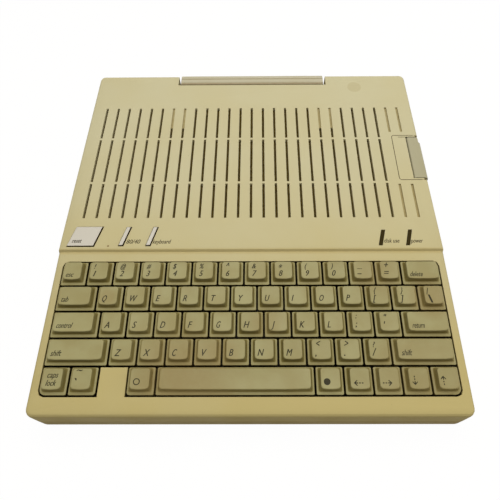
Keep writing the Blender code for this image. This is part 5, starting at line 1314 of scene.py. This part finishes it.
@dataclass(frozen=True)
class KeyCap:
    """Moulded keycap: a skirt and a flat rim in the deck, with a raised and dished pad set to the rear."""

    skirt: float = 5.0 * MM
    wall: float = 1.2 * MM
    rim_height: float = 0.5 * MM
    rim_round: float = 0.28 * MM
    shelf_height: float = 0.9 * MM
    shelf_width: float = 1.35 * MM
    shelf_front: float = 2.1 * MM
    pad_height: float = 4.7 * MM
    pad_side: float = 2.7 * MM
    pad_front: float = 3.85 * MM
    pad_rear: float = 1.3 * MM
    pad_round: float = 0.55 * MM
    base_corner: float = 0.9 * MM
    pad_corner: float = 1.7 * MM
    well_corner: float = 4.0 * MM
    tab_corner: float = 1.9 * MM
    bow: float = 0.7 * MM
    bow_reach: float = 6.2 * MM
    dish: float = 0.35 * MM
    roof: float = 1.4 * MM
    pad_shares: tuple[float, ...] = (0.93, 0.82, 0.66, 0.48, 0.3, 0.14)
    stem_half: float = 2.0 * MM
    stem_drop: float = 1.8 * MM
    stem_sunk: float = 0.4 * MM
    stem_shade: float = 0.8
    corner_points: int = 7
    side_points: int = 7

    def levels(self) -> np.ndarray:
        """Levels of the cap from the roof inside, down the wall, up the outside and over the pad.

        The flank between shelf and pad is a hollow curve: it rises with the 1.8th power of its way in.

        Returns:
            Array of levels by 7: side, front and rear margin, corner radius, height, dirt with painted shade,
                and bow share.
        """
        roof = self.pad_height - self.roof
        # The dirt values are painted shade with some dirt: near black inside the cap and down the skirt
        # between the keys, fading up the flank to the pad
        inner = [(self.pad_side + self.wall, self.pad_front + self.wall, self.pad_rear + self.wall,
                  self.base_corner, roof, 0.7, 0.0),
                 (self.wall, self.wall, self.wall, self.base_corner, -self.skirt, 0.8, 0.0)]
        foot = [(0.0, 0.0, 0.0, self.base_corner, -self.skirt, 1.0, 0.0),
                (0.0, 0.0, 0.0, self.base_corner, self.rim_height - 3.0 * self.rim_round, 1.0, 0.0),
                (0.0, 0.0, 0.0, self.base_corner, self.rim_height - self.rim_round, 0.75, 0.0)]
        rim = [(self.rim_round * (1 - math.cos(a)),) * 3
               + (self.base_corner, self.rim_height - self.rim_round * (1 - math.sin(a)), dirt, 0.0)
               for a, dirt in zip(np.linspace(0, QUARTER_TURN, 4)[1:], (0.4, 0.12, 0.04))]
        rear_shelf = self.pad_rear * 0.5
        shelf = [(self.shelf_width * 0.8, self.shelf_front * 0.8, rear_shelf * 0.8, self.base_corner,
                  self.blend(self.rim_height, self.shelf_height, 0.75), 0.08, 0.0)]
        flank = []
        top = self.pad_height - self.pad_round
        for share in np.linspace(0, 1, 8):
            flank.append((self.blend(self.shelf_width, self.pad_side - self.pad_round * 0.3, share),
                          self.blend(self.shelf_front, self.pad_front - self.pad_round * 0.3, share),
                          self.blend(rear_shelf, self.pad_rear, share),
                          self.blend(self.base_corner * 1.1, self.pad_corner, share),
                          self.blend(self.shelf_height, top, share ** 1.8),
                          self.blend(0.5, 0.26, share), share))
        edge = []
        for a in np.linspace(0, QUARTER_TURN, 5)[1:]:
            draw = self.pad_round * (1 - math.cos(a)) - self.pad_round * 0.3
            edge.append((self.pad_side + draw, self.pad_front + draw,
                         self.pad_rear + draw + self.pad_round * 0.3,
                         self.pad_corner, self.pad_height - self.pad_round * (1 - math.sin(a)),
                         0.14 * math.cos(a), 1.0))
        return np.array(inner + foot + rim + shelf + flank + edge)

    def bow_out(self, flat: np.ndarray, front: np.ndarray, share: np.ndarray) -> np.ndarray:
        """Bend the front side of each ring towards the typist: most in its middle, nothing at its corners.

        Args:
            flat: Rings of levels by points by 2.
            front: Place of each level's straight front side.
            share: Share of the bow for each level.

        Returns:
            The bent rings.
        """
        x, y = flat[..., 0], flat[..., 1]
        half = np.abs(x).max(axis=1, keepdims=True)
        t = np.clip((np.abs(x) - (half - self.bow_reach)) / self.bow_reach, 0, 1)
        near = np.clip((front[:, None] + self.pad_corner - y) / self.pad_corner, 0, 1)
        bent = flat.copy()
        bent[..., 1] -= self.bow * share[:, None] * (1 - t ** 2) * near
        return bent

    @staticmethod
    def blend(first: float, second: float, share: float) -> float:
        """Value a share of the way from one to another."""
        return first + (second - first) * share

    def pad_middle(self) -> float:
        """How far the pad's middle lies behind the base's middle."""
        return (self.pad_front - self.pad_rear) / 2

    def pad_size(self, width: float, depth: float) -> tuple[float, float]:
        """Width and depth of the pad of a cap."""
        return width - 2 * self.pad_side, depth - self.pad_front - self.pad_rear

    def dish_depth(self, x: np.ndarray, y: np.ndarray, width: float, depth: float) -> np.ndarray:
        """Depth of the pad's dish: deepest in its middle, with no depth at the pad's edge.

        Args:
            x: Way across from the base's middle.
            y: Way back from the base's middle.
            width: Width of the base.
            depth: Depth of the base.

        Returns:
            Depth at each place.
        """
        pad_width, pad_depth = self.pad_size(width, depth)
        u = np.clip(2 * x / pad_width, -1, 1)
        v = np.clip(2 * (y - self.pad_middle()) / pad_depth, -1, 1)
        return self.dish * (1 - u ** 2) * (1 - v ** 2)

    def add_to(self, skin: Skin, width: float, depth: float, corners: Sequence[float], place: Matrix,
               tint: float) -> None:
        """Add one cap as a closed skin.

        Args:
            skin: Skin that receives it.
            width: Width of its base.
            depth: Depth of its base.
            corners: Radius of each base corner, from the right front one round, or 0 for the usual one.
            place: Frame at the middle of its base.
            tint: Dirt that the whole cap shares.
        """
        side, front, rear, radius, height, dirt, bowed = self.levels().T
        low = np.stack((-width / 2 + side, -depth / 2 + front), -1)
        high = np.stack((width / 2 - side, depth / 2 - rear), -1)
        radii = np.maximum(radius[:, None], np.array(corners)[None] - side[:, None])
        flat = self.bow_out(rounded_rings(low, high, radii, self.corner_points, self.side_points),
                            low[:, 1], bowed)
        middle = np.array([0.0, self.pad_middle()])
        shares = np.array(self.pad_shares)
        pad = middle + (flat[-1] - middle) * shares[:, None, None]
        rings = with_heights(np.concatenate((flat, pad)), (*height, *np.full(len(shares), self.pad_height)))
        rings[-len(shares):, :, 2] -= self.dish_depth(pad[..., 0], pad[..., 1], width, depth)
        poles = carry(np.array([(*middle, height[0]), (*middle, self.pad_height - self.dish)]), place)
        dirt = np.concatenate((dirt, np.zeros(len(shares))))
        skin.add_rings(carry(rings, place), np.clip(dirt + tint, 0, 1), *poles)
        # The stem is painted dark as shade inside the cap
        half = self.stem_half
        skin.add_block((-half, -half, -self.skirt - self.stem_drop), (half, half, height[0] + self.stem_sunk),
                       place, self.stem_shade)


@dataclass(frozen=True)
class Keyboard(Assembly):
    """All keys with their legends, and the plate with the switches under them."""

    cap: KeyCap = KeyCap()
    legends: Legends = Legends()
    words: Legends = Legends(boldness=0.06 * MM)
    capital_height: float = 4.8 * MM
    digit_height: float = 4.6 * MM
    sign_height: float = 3.9 * MM
    word_height: float = 4.0 * MM
    legend_left: float = 1.7 * MM
    capital_foot: float = 1.6 * MM
    sign_foot: float = 1.45 * MM
    sign_rise: float = 5.95 * MM
    digit_shift: float = 0.8 * MM
    word_foot: float = 1.65 * MM
    word_rise: float = 5.0 * MM
    lean: float = 0.1
    seed: int = 7
    most_dirt: float = 0.11
    plate_drop: float = 10.9 * MM
    plate_thickness: float = 1.5 * MM
    plate_side: float = 1.6 * MM
    plate_front: float = 9.0 * MM
    plate_rear: float = 6.5 * MM
    plate_dirt: float = 0.2
    switch_top: float = 3.8 * MM
    switch_half: float = 6.0 * MM
    switch_bore: float = 2.3 * MM
    switch_slope: tuple[float, float] = (1.0 * MM, 1.8 * MM)
    switch_sunk: float = 0.2 * MM
    switch_corner: float = 0.4 * MM

    def places(self) -> Iterator[tuple[Key, float, float, tuple[float, ...]]]:
        """Each key with the middle of its base on the key deck and the radii of its corners."""
        form, well, tab = self.form, self.cap.well_corner, self.cap.tab_corner
        for row, keys in enumerate(KEY_ROWS):
            front, rear = row == 0, row == form.rows - 1
            along = form.front_margin + (row + 0.5) * form.key_pitch
            start = -form.field_pitches / 2
            for number, key in enumerate(keys, 1):
                first, last = number == 1, number == len(keys)
                corners = (well * (front and last) + tab * (key.name == "grave"), well * (rear and last),
                           well * (rear and first),
                           well * (front and first) + tab * (key.name == "mark_left"))
                if key.name:
                    yield key, (start + key.width / 2) * form.key_pitch, along, corners
                start += key.width

    def make(self) -> None:
        """Make each cap with its legends, on its own body or on the case, and the plate."""
        rng = np.random.default_rng(self.seed)
        form, deck = self.form, self.form.key_deck()
        depth = form.key_pitch - form.key_gap
        for key, x, along, corners in self.places():
            place = deck.at(x, along)
            width = key.width * form.key_pitch - form.key_gap
            node = "key_" + key.name
            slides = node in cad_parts
            body = node if slides else Body.CASE.value
            skin = Skin()
            self.cap.add_to(skin, width, depth, corners, place, rng.uniform(0.0, self.most_dirt))
            self.lay(skin, "keycap_" + key.name, FinishName.KEYCAP, Slot.KEYCAP,
                     node if slides else "keyboard_plate", body=body, angle=ROUND_ANGLE)
            if key.legends:
                legend = self.legend(key, width, depth, place)
                self.lay(legend, "legend_" + key.name, FinishName.INK, Slot.DARK, body=body)
        self.make_plate()

    def legend(self, key: Key, width: float, depth: float, place: Matrix) -> Skin:
        """Legends of one key, laid on its dished pad.

        Args:
            key: The key.
            width: Width of its base.
            depth: Depth of its base.
            place: Frame at the middle of its base.

        Returns:
            A skin with all its letters and marks in world places.
        """
        pad_width, pad_depth = self.cap.pad_size(width, depth)
        left = -pad_width / 2 + self.legend_left
        foot = self.cap.pad_middle() - pad_depth / 2
        skin = Skin()
        for number, text in enumerate(key.legends):
            mesh, shift, rise = self.legend_part(text, number, len(key.legends) > 1)
            flat = read_vectors(mesh.vertices, "co") + (left + shift, foot + rise, 0.0)
            flat[:, 2] += self.cap.pad_height - self.cap.dish_depth(flat[:, 0], flat[:, 1], width, depth)
            start = skin.add_points(carry(flat, place))
            skin.faces += [[start + i for i in polygon.vertices] for polygon in mesh.polygons]
            bpy.data.meshes.remove(mesh)
        return skin

    def legend_part(self, text: str, number: int, paired: bool) -> tuple[bpy.types.Mesh, float, float]:
        """One legend and its place on the pad.

        Args:
            text: A mark's name, a word, a capital, a digit or a sign.
            number: 0 for the lowest legend of the key, 1 for the next one up.
            paired: Whether the key has two legends.

        Returns:
            Its mesh, its way across from the pad's left and its way up from the pad's front.
        """
        if text in MARK_PLACES:
            size, shift, rise = (length * MM for length in MARK_PLACES[text])
            return self.legends.mark(text, size), shift, rise
        if text in WORD_PLACES:
            width, shift, up = (length * MM for length in WORD_PLACES[text])
            rise = self.word_foot + up + number * self.word_rise
            return self.words.lettering(text, self.word_height, width=width), shift, rise
        if not paired:
            share = CAPITAL_SHARES.get(text, CAPITAL_SHARE)
            return self.legends.lettering(text, self.capital_height, share), 0.0, self.capital_foot
        height = self.digit_height if text.isdigit() or not number else self.sign_height
        wider, taller = SIGN_SCALES.get(text, (1.0, 1.0))
        across, up = SIGN_SHIFTS.get(text, (0.0, 0.0))
        shift = number * self.sign_rise * self.lean + self.digit_shift * text.isdigit() + across * MM
        mesh = self.legends.lettering(text, height * taller, SIGN_SHARE * wider / taller)
        return mesh, shift, self.sign_foot + number * self.sign_rise + up * MM

    def make_plate(self) -> None:
        """Make the switch plate with a housing under each key and a bore for each stem."""
        form, deck = self.form, self.form.key_deck()
        drop, reach, bore = self.plate_drop, self.switch_half, self.switch_bore
        half = form.field_pitches * form.key_pitch / 2 + self.plate_side
        front = form.front_margin - self.plate_front
        rear = form.front_margin + form.rows * form.key_pitch + self.plate_rear
        skin = Skin()
        skin.add_block((-half, front, -drop - self.plate_thickness), (half, rear, -drop), deck.at(),
                       self.plate_dirt)
        foot, top, (slope_in, slope_down) = -drop - self.switch_sunk, -self.switch_top, self.switch_slope
        section = np.array([(reach, foot), (reach, top - slope_down), (reach - slope_in, top), (bore, top),
                            (bore, foot)])
        corners = section[:, :1].repeat(2, 1)
        ring = rounded_rings(-corners, corners, np.full((len(section), 4), self.switch_corner), 3, 0)
        rings = with_heights(ring, section[:, 1])
        hoop = np.concatenate((rings, rings[:1]))
        for _, x, along, _ in self.places():
            skin.add_hoop(carry(hoop, deck.at(x, along)))
        self.lay(skin, "switch_plate", FinishName.DARK, Slot.DARK, "keyboard_plate")


# Controls beside the crease, and the disk drive's parts


@dataclass(frozen=True)
class Controls(Assembly):
    """Reset button, the two switches, the two lamps and the words beside them."""

    cap_soft: Softener = Softener(bevel=0.3 * MM, segments=3)
    lens_soft: Softener = Softener(bevel=0.2 * MM)
    legends: Legends = Legends(boldness=0.055 * MM)
    word_height: float = 3.7 * MM
    button_rise: float = 0.9 * MM

    def make(self) -> None:
        """Make each control from its node, with sides painted dark as shade and dirt, and a clean top."""
        for node, name in (("reset_button", "reset_cap"), ("width_switch", "width_switch_cap"),
                           ("layout_switch", "layout_switch_cap")):
            piece = self.mould(node, name, FinishName.BUTTON, Slot.BUTTON, self.cap_soft, body=node)
            # The sides are painted dark brown as the shade beside each control, with some dirt
            self.paint(piece, FinishName.SOIL_AND_SHADE, lambda centres, normals: normals[:, 2] < 0.5)
        for node in ("disk_lamp", "power_lamp"):
            self.mould(node, node + "_lens", FinishName.LENS, Slot.LENS, self.lens_soft)
        self.make_words()

    def make_words(self) -> None:
        """Print the plain words on the button and beside the switches and lamps."""
        # Name and text, then place across, place up the deck and width in millimetres, and body
        words = (("reset", "reset", -134.3, 6.4, 7.7, "reset_button"),
                 ("width", "80/40", -93.8, 6.0, 11.2, Body.CASE.value),
                 ("layout", "keyboard", -73.8, 5.95, 14.0, Body.CASE.value),
                 ("disk", "disk use", 99.9, 6.15, 12.4, Body.CASE.value),
                 ("power", "power", 120.2, 6.1, 9.6, Body.CASE.value))
        for name, text, x, along, width, body in words:
            mesh = self.legends.lettering(text, self.word_height, width=width * MM)
            out = self.button_rise if name == "reset" else 0.0
            mesh.transform(self.form.vent_deck().at(x * MM, along * MM, out))
            report(place_object("word_" + name, mesh, self.paints[FinishName.PRINT]), body, Slot.DARK)


@dataclass(frozen=True)
class DriveParts(Assembly):
    """Bezel, door, drive and power converter."""

    fine: Softener = Softener(bevel=0.3 * MM, segments=3)
    coarse: Softener = Softener(bevel=0.4 * MM)
    face_depth: float = 0.5 * MM
    gap_reach: float = 1.0 * MM
    recess_centre: float = 88.8 * MM
    recess_length: float = 48.0 * MM
    recess_corner: float = 2.3 * MM
    outline_gap: float = 0.3 * MM
    strip_half: float = 0.26 * MM
    strip_top: float = 0.02 * MM
    strip_foot: float = -0.6 * MM
    strip_end: float = 7.0 * MM
    strip_points: int = 8
    pocket_end: float = 4.5 * MM
    clean_edge: float = 1.2 * MM
    groove_start: float = 0.02 * MM
    groove_run: float = 0.1 * MM

    def make(self) -> None:
        """Make the drive's visible parts and what shows through the slots."""
        bezel = self.mould("drive_bezel", "bezel_moulding", FinishName.CASE, Slot.CASE, self.fine,
                           dirt_and_shade_of=self.groove_dirt_and_shade)
        self.shade_pocket_walls(bezel)
        self.lay_joint_dirt_and_shade()
        self.mould("drive_door", "door_moulding", FinishName.DOOR, Slot.DOOR, self.fine, body=Body.DOOR.value)
        drive = self.mould("disk_drive", "drive_unit", FinishName.METAL, Slot.METAL, self.coarse)
        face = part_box("disk_drive")[1].x - self.face_depth
        self.paint(drive, FinishName.DARK, lambda centres, normals: centres[:, 0] > face)
        self.mould("power_converter", "converter_can", FinishName.METAL, Slot.METAL, self.coarse)

    def shade_pocket_walls(self, bezel: bpy.types.Object) -> None:
        """Paint shade on the walls of the bezel that face the door."""
        low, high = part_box("drive_door")
        reach, end = self.gap_reach, high.x - self.pocket_end
        self.paint(bezel, FinishName.SOIL_AND_SHADE, lambda centres, normals: (
            (centres[:, 0] > low.x - reach) & (centres[:, 0] < end)
            & (centres[:, 1] > low.y - reach) & (centres[:, 1] < high.y + reach)
            & (np.abs(normals[:, 2]) < 0.5) & ((normals[:, 0] > 0.7) | (np.abs(normals[:, 1]) > 0.7))))

    def lay_joint_dirt_and_shade(self) -> None:
        """Lay packed dirt and painted shade in the joint round the bezel: a three-cornered section carried
        along a path.

        The path runs in from the edge, round two quarter circles c + r (cos a, sin a), and out again, and
        the section's way across is the path's direction turned by a quarter.
        """
        gap = self.outline_gap / 2
        left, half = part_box("drive_bezel")[0].x - gap, self.recess_length / 2 - gap
        radius = self.recess_corner - gap
        angle = QUARTER_TURN * np.linspace(1, 2, self.strip_points)
        rear = np.stack((left + radius * (1 + np.cos(angle)), half + radius * (np.sin(angle) - 1)), -1)
        edge = np.array([[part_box("drive_door")[1].x - self.strip_end, half]])
        path = np.concatenate((edge, rear, rear[::-1] * (1, -1), edge * (1, -1)))
        way = np.gradient(path, axis=0)
        way /= np.linalg.norm(way, axis=1, keepdims=True)
        across = np.stack((-way[:, 1], way[:, 0]), -1)
        section = np.array([(0.0, self.strip_foot), (self.strip_half, self.strip_top),
                            (-self.strip_half, self.strip_top)])
        flat = path[:, None] + across[:, None] * section[:, :1]
        rings = np.concatenate((flat, np.broadcast_to(section[:, 1:], flat.shape[:2] + (1,))), -1)
        skin = Skin()
        skin.add_rings(carry(rings, self.form.vent_deck().at(along=self.recess_centre)))
        self.lay(skin, "bezel_joint_dirt_and_shade", FinishName.SOIL_AND_SHADE, Slot.CASE)

    def groove_dirt_and_shade(self, places: np.ndarray) -> np.ndarray:
        """Dirt and painted shade for the points of the bezel that lie in its outline groove, under the deck.

        Args:
            places: Points of the bezel.

        Returns:
            Dirt and painted shade value of each point.
        """
        sunk = self.form.vent_deck().height_at(places[:, 1]) - places[:, 2]
        inner = self.form.half_width_at(places[:, 2]) - places[:, 0] > self.clean_edge
        return np.clip((sunk - self.groove_start) / self.groove_run, 0, 1) * inner


@dataclass(frozen=True)
class RearPorts(Assembly):
    """Main board with its chips and sockets, the volume wheel and the power rocker."""

    board_soft: Softener = Softener(bevel=0.2 * MM)
    wheel_soft: Softener = Softener(bevel=0.12 * MM)
    rocker_soft: Softener = Softener(bevel=0.25 * MM, segments=3)
    board_top: float = 10.6 * MM
    paint_margin: float = 0.2 * MM
    port_level: float = 19.0 * MM
    pin_radius: float = 0.45 * MM
    pin_length: float = 5.6 * MM
    pin_back: float = 7.2 * MM
    pin_pitch: float = 2.77 * MM
    pin_points: int = 10
    row_rise: float = 1.42 * MM
    bar_back: float = 6.6 * MM
    bar_half: float = 0.2 * MM
    ring_arc: float = math.radians(240.0)

    @property
    def panel(self) -> float:
        """Place of the port panel's outer face."""
        return self.form.rear - self.form.bay_depth

    def make(self) -> None:
        """Make the board and sockets, and the moving parts on the rear and left sides."""
        board = self.mould("logic_board", "main_board", FinishName.BOARD, Slot.BOARD, self.board_soft)
        above = self.board_top + self.paint_margin
        behind = self.panel - self.form.wall - self.form.fit + self.paint_margin
        self.paint(board, FinishName.DARK, lambda centres, normals: centres[:, 2] > above)
        self.paint(board, FinishName.PLATING, lambda centres, normals: centres[:, 1] > behind)
        for node, name, soft in (("volume_wheel", "thumb_wheel", self.wheel_soft),
                                 ("power_rocker", "rocker_cap", self.rocker_soft)):
            self.mould(node, name, FinishName.DARK, Slot.DARK, soft, body=node)
        self.make_pins()

    def make_pins(self) -> None:
        """Make the pins inside the rear sockets: two offset rows in a wide one, a ring in a round one."""
        sockets = {}
        # Middle in millimetres, then the pins in the upper and the lower row
        for name, middle, upper, lower in (("joystick", 113.0, 5, 4), ("video_expansion", 43.0, 8, 7),
                                           ("outer_drive", -21.0, 10, 9)):
            sockets[name] = skin = Skin()
            self.add_bar(skin, middle * MM, (upper - 1) * self.pin_pitch)
            for count, rise in ((upper, self.row_rise), (lower, -self.row_rise)):
                for number in range(count):
                    self.add_pin(skin, middle * MM + (number - (count - 1) / 2) * self.pin_pitch, rise)
        # Middle in millimetres, number of pins, and radius of their ring in millimetres
        for name, middle, count, radius in (("serial_right", 86.0, 5, 3.5), ("serial_left", -86.0, 5, 3.5),
                                            ("power_inlet", -105.0, 7, 3.8)):
            sockets[name] = skin = Skin()
            for number in range(count):
                angle = self.ring_arc * (number / (count - 1) - 0.5) + QUARTER_TURN
                self.add_pin(skin, (middle + radius * math.cos(angle)) * MM, radius * MM * math.sin(angle))
        for name, skin in sockets.items():
            self.lay(skin, name + "_contacts", FinishName.BRASS, Slot.METAL, angle=ROUND_ANGLE)

    def add_bar(self, skin: Skin, middle: float, width: float) -> None:
        """Add the thin bar that carries the rows of pins in a wide socket.

        Args:
            skin: Skin that receives the bar.
            middle: Middle of the socket.
            width: Width of its longer row of pins.
        """
        back = self.panel - self.bar_back
        skin.add_block((middle - width / 2, back - self.bar_half, self.port_level - self.bar_half),
                       (middle + width / 2, back, self.port_level + self.bar_half))

    def add_pin(self, skin: Skin, x: float, rise: float) -> None:
        """Add one round-nosed pin that stands in a socket and points to the rear.

        Args:
            skin: Skin that receives the pin.
            x: Its place across.
            rise: Its height over the middle of the sockets.
        """
        length, radius = self.pin_length, self.pin_radius
        profile = [(radius, 0.0), (radius, length - radius), (radius * 0.7, length - radius * 0.3)]
        rings = turned_rings(profile, self.pin_points)
        start = Matrix.Translation((x, self.panel - self.pin_back, self.port_level + rise))
        place = start @ Matrix.Rotation(-QUARTER_TURN, 4, "X")
        skin.add_rings(carry(rings, place), 0.0, None, carry(np.array([0.0, 0.0, length]), place))


# Studio


@dataclass(frozen=True)
class Studio:
    """Camera at the photograph's place, white backdrop floor and plain soft light."""

    frame_pixels: int = 500
    focal_pixels: float = 414.732
    sensor: float = 36.0
    centre_x: float = 257.773
    centre_y: float = 263.898
    pitch: float = math.radians(59.045)
    yaw: float = math.radians(0.532)
    roll: float = math.radians(-0.632)
    eye: tuple[float, float, float] = (6.767 * MM, -52.392 * MM, 309.008 * MM)
    floor_size: float = 6.0
    world_strength: float = 0.275
    key_power: float = 11.2
    key_size: float = 1.0
    key_place: tuple[float, float, float] = (0.05, 0.15, 1.2)
    side_place: tuple[float, float, float] = (1.2, 0.1, 0.6)
    side_power_share: float = 0.18
    side_size_share: float = 0.6
    world_colour: Colour = (1.0, 0.985, 0.96)
    floor_colour: Colour = (0.34, 0.31, 0.26)
    floor_glow: float = 1.08
    floor_share: float = 0.9

    def make_camera(self, form: CaseForm) -> None:
        """Place the camera so that its 500-pixel frame matches the photograph.

        Args:
            form: Sizes of the case, whose front face the eye's place is counted from.
        """
        data = bpy.data.cameras.new("photo_camera")
        data.sensor_width = self.sensor
        data.lens = self.focal_pixels / self.frame_pixels * self.sensor
        data.shift_x = (self.frame_pixels / 2 - self.centre_x) / self.frame_pixels
        data.shift_y = (self.centre_y - self.frame_pixels / 2) / self.frame_pixels
        data.clip_start = 0.01
        ahead = Vector((0, math.cos(self.pitch), -math.sin(self.pitch)))
        ahead.rotate(Matrix.Rotation(self.yaw, 3, "Z"))
        right = ahead.cross(Vector((0, 0, 1))).normalized()
        up = right.cross(ahead)
        tilted_right = math.cos(self.roll) * right + math.sin(self.roll) * up
        tilted_up = -math.sin(self.roll) * right + math.cos(self.roll) * up
        camera = bpy.data.objects.new("photo_camera", data)
        bpy.context.scene.collection.objects.link(camera)
        axes = Matrix((tilted_right, tilted_up, -ahead)).transposed().to_4x4()
        camera.matrix_world = Matrix.Translation((self.eye[0], form.front + self.eye[1], self.eye[2])) @ axes
        bpy.context.scene.camera = camera

    def make_floor(self) -> None:
        """Lay a dull floor that the camera sees as nearly white, with the object's shadow."""
        material = bpy.data.materials.new("pale floor")
        material.use_nodes = True
        tree = material.node_tree
        wiring = Wiring(tree)
        tree.nodes.remove(tree.nodes["Principled BSDF"])
        soft = wiring.add("ShaderNodeBsdfDiffuse", Color=self.floor_colour)
        bright = wiring.add("ShaderNodeEmission", Color=(1.0, 1.0, 1.0), Strength=self.floor_glow)
        share = wiring.math("MULTIPLY", wiring.seen_directly(), self.floor_share)
        mixed = wiring.add("ShaderNodeMixShader", None, (share, soft.outputs[0], bright.outputs[0]))
        wiring.feed(tree.nodes["Material Output"], "Surface", mixed.outputs[0])
        half = self.floor_size / 2
        corners = [(-half, -half, 0), (half, -half, 0), (half, half, 0), (-half, half, 0)]
        mesh = bpy.data.meshes.new("floor")
        mesh.from_pydata(corners, [], [(0, 1, 2, 3)])
        mesh.materials.append(material)
        floor = bpy.data.objects.new("floor", mesh)
        bpy.context.scene.collection.objects.link(floor)
        floor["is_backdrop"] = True

    def make_light(self) -> None:
        """Set an even world, and two soft lamps above and behind."""
        scene = bpy.context.scene
        scene.view_settings.view_transform = "Standard"
        world = bpy.data.worlds.new("studio")
        scene.world = world
        world.use_nodes = True
        tree = world.node_tree
        wiring = Wiring(tree)
        even = tree.nodes["Background"]
        wiring.feed(even, "Color", self.world_colour)
        wiring.feed(even, "Strength", self.world_strength)
        white = wiring.add("ShaderNodeBackground", Color=(1.0, 1.0, 1.0), Strength=1.0)
        mixed = wiring.add("ShaderNodeMixShader", None,
                           (wiring.seen_directly(), even.outputs[0], white.outputs[0]))
        wiring.feed(tree.nodes["World Output"], "Surface", mixed.outputs[0])
        self.add_lamp("key_lamp", self.key_place, 1.0, 1.0)
        self.add_lamp("side_lamp", self.side_place, self.side_power_share, self.side_size_share)

    def add_lamp(self, name: str, place: tuple[float, float, float], power_share: float, size_share: float
                 ) -> None:
        """Add a square soft lamp that faces the origin.

        Args:
            name: Name of the lamp.
            place: Where it hangs.
            power_share: Its power as a share of the key lamp's.
            size_share: Its size as a share of the key lamp's.
        """
        data = bpy.data.lights.new(name, "AREA")
        data.energy = self.key_power * power_share
        data.size = self.key_size * size_share
        lamp = bpy.data.objects.new(name, data)
        lamp.location = place
        lamp.rotation_euler = (-Vector(place)).to_track_quat("-Z", "Y").to_euler()
        bpy.context.scene.collection.objects.link(lamp)


def main() -> None:
    """Build every sub-assembly around the frame."""
    logging.basicConfig(level=logging.INFO, format="%(name)s: %(message)s")
    form = CaseForm()
    studio = Studio()
    studio.make_camera(form)
    studio.make_floor()
    studio.make_light()
    paints = Paints(form)
    for assembly in (Casing, Keyboard, Controls, DriveParts, RearPorts):
        assembly(form, paints).make()
    boxes = {"cad": CAD_BOX, "visual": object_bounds()}
    {name: [list(corner) for corner in box] for name, box in boxes.items()}


if __name__ == "__main__":
    main()
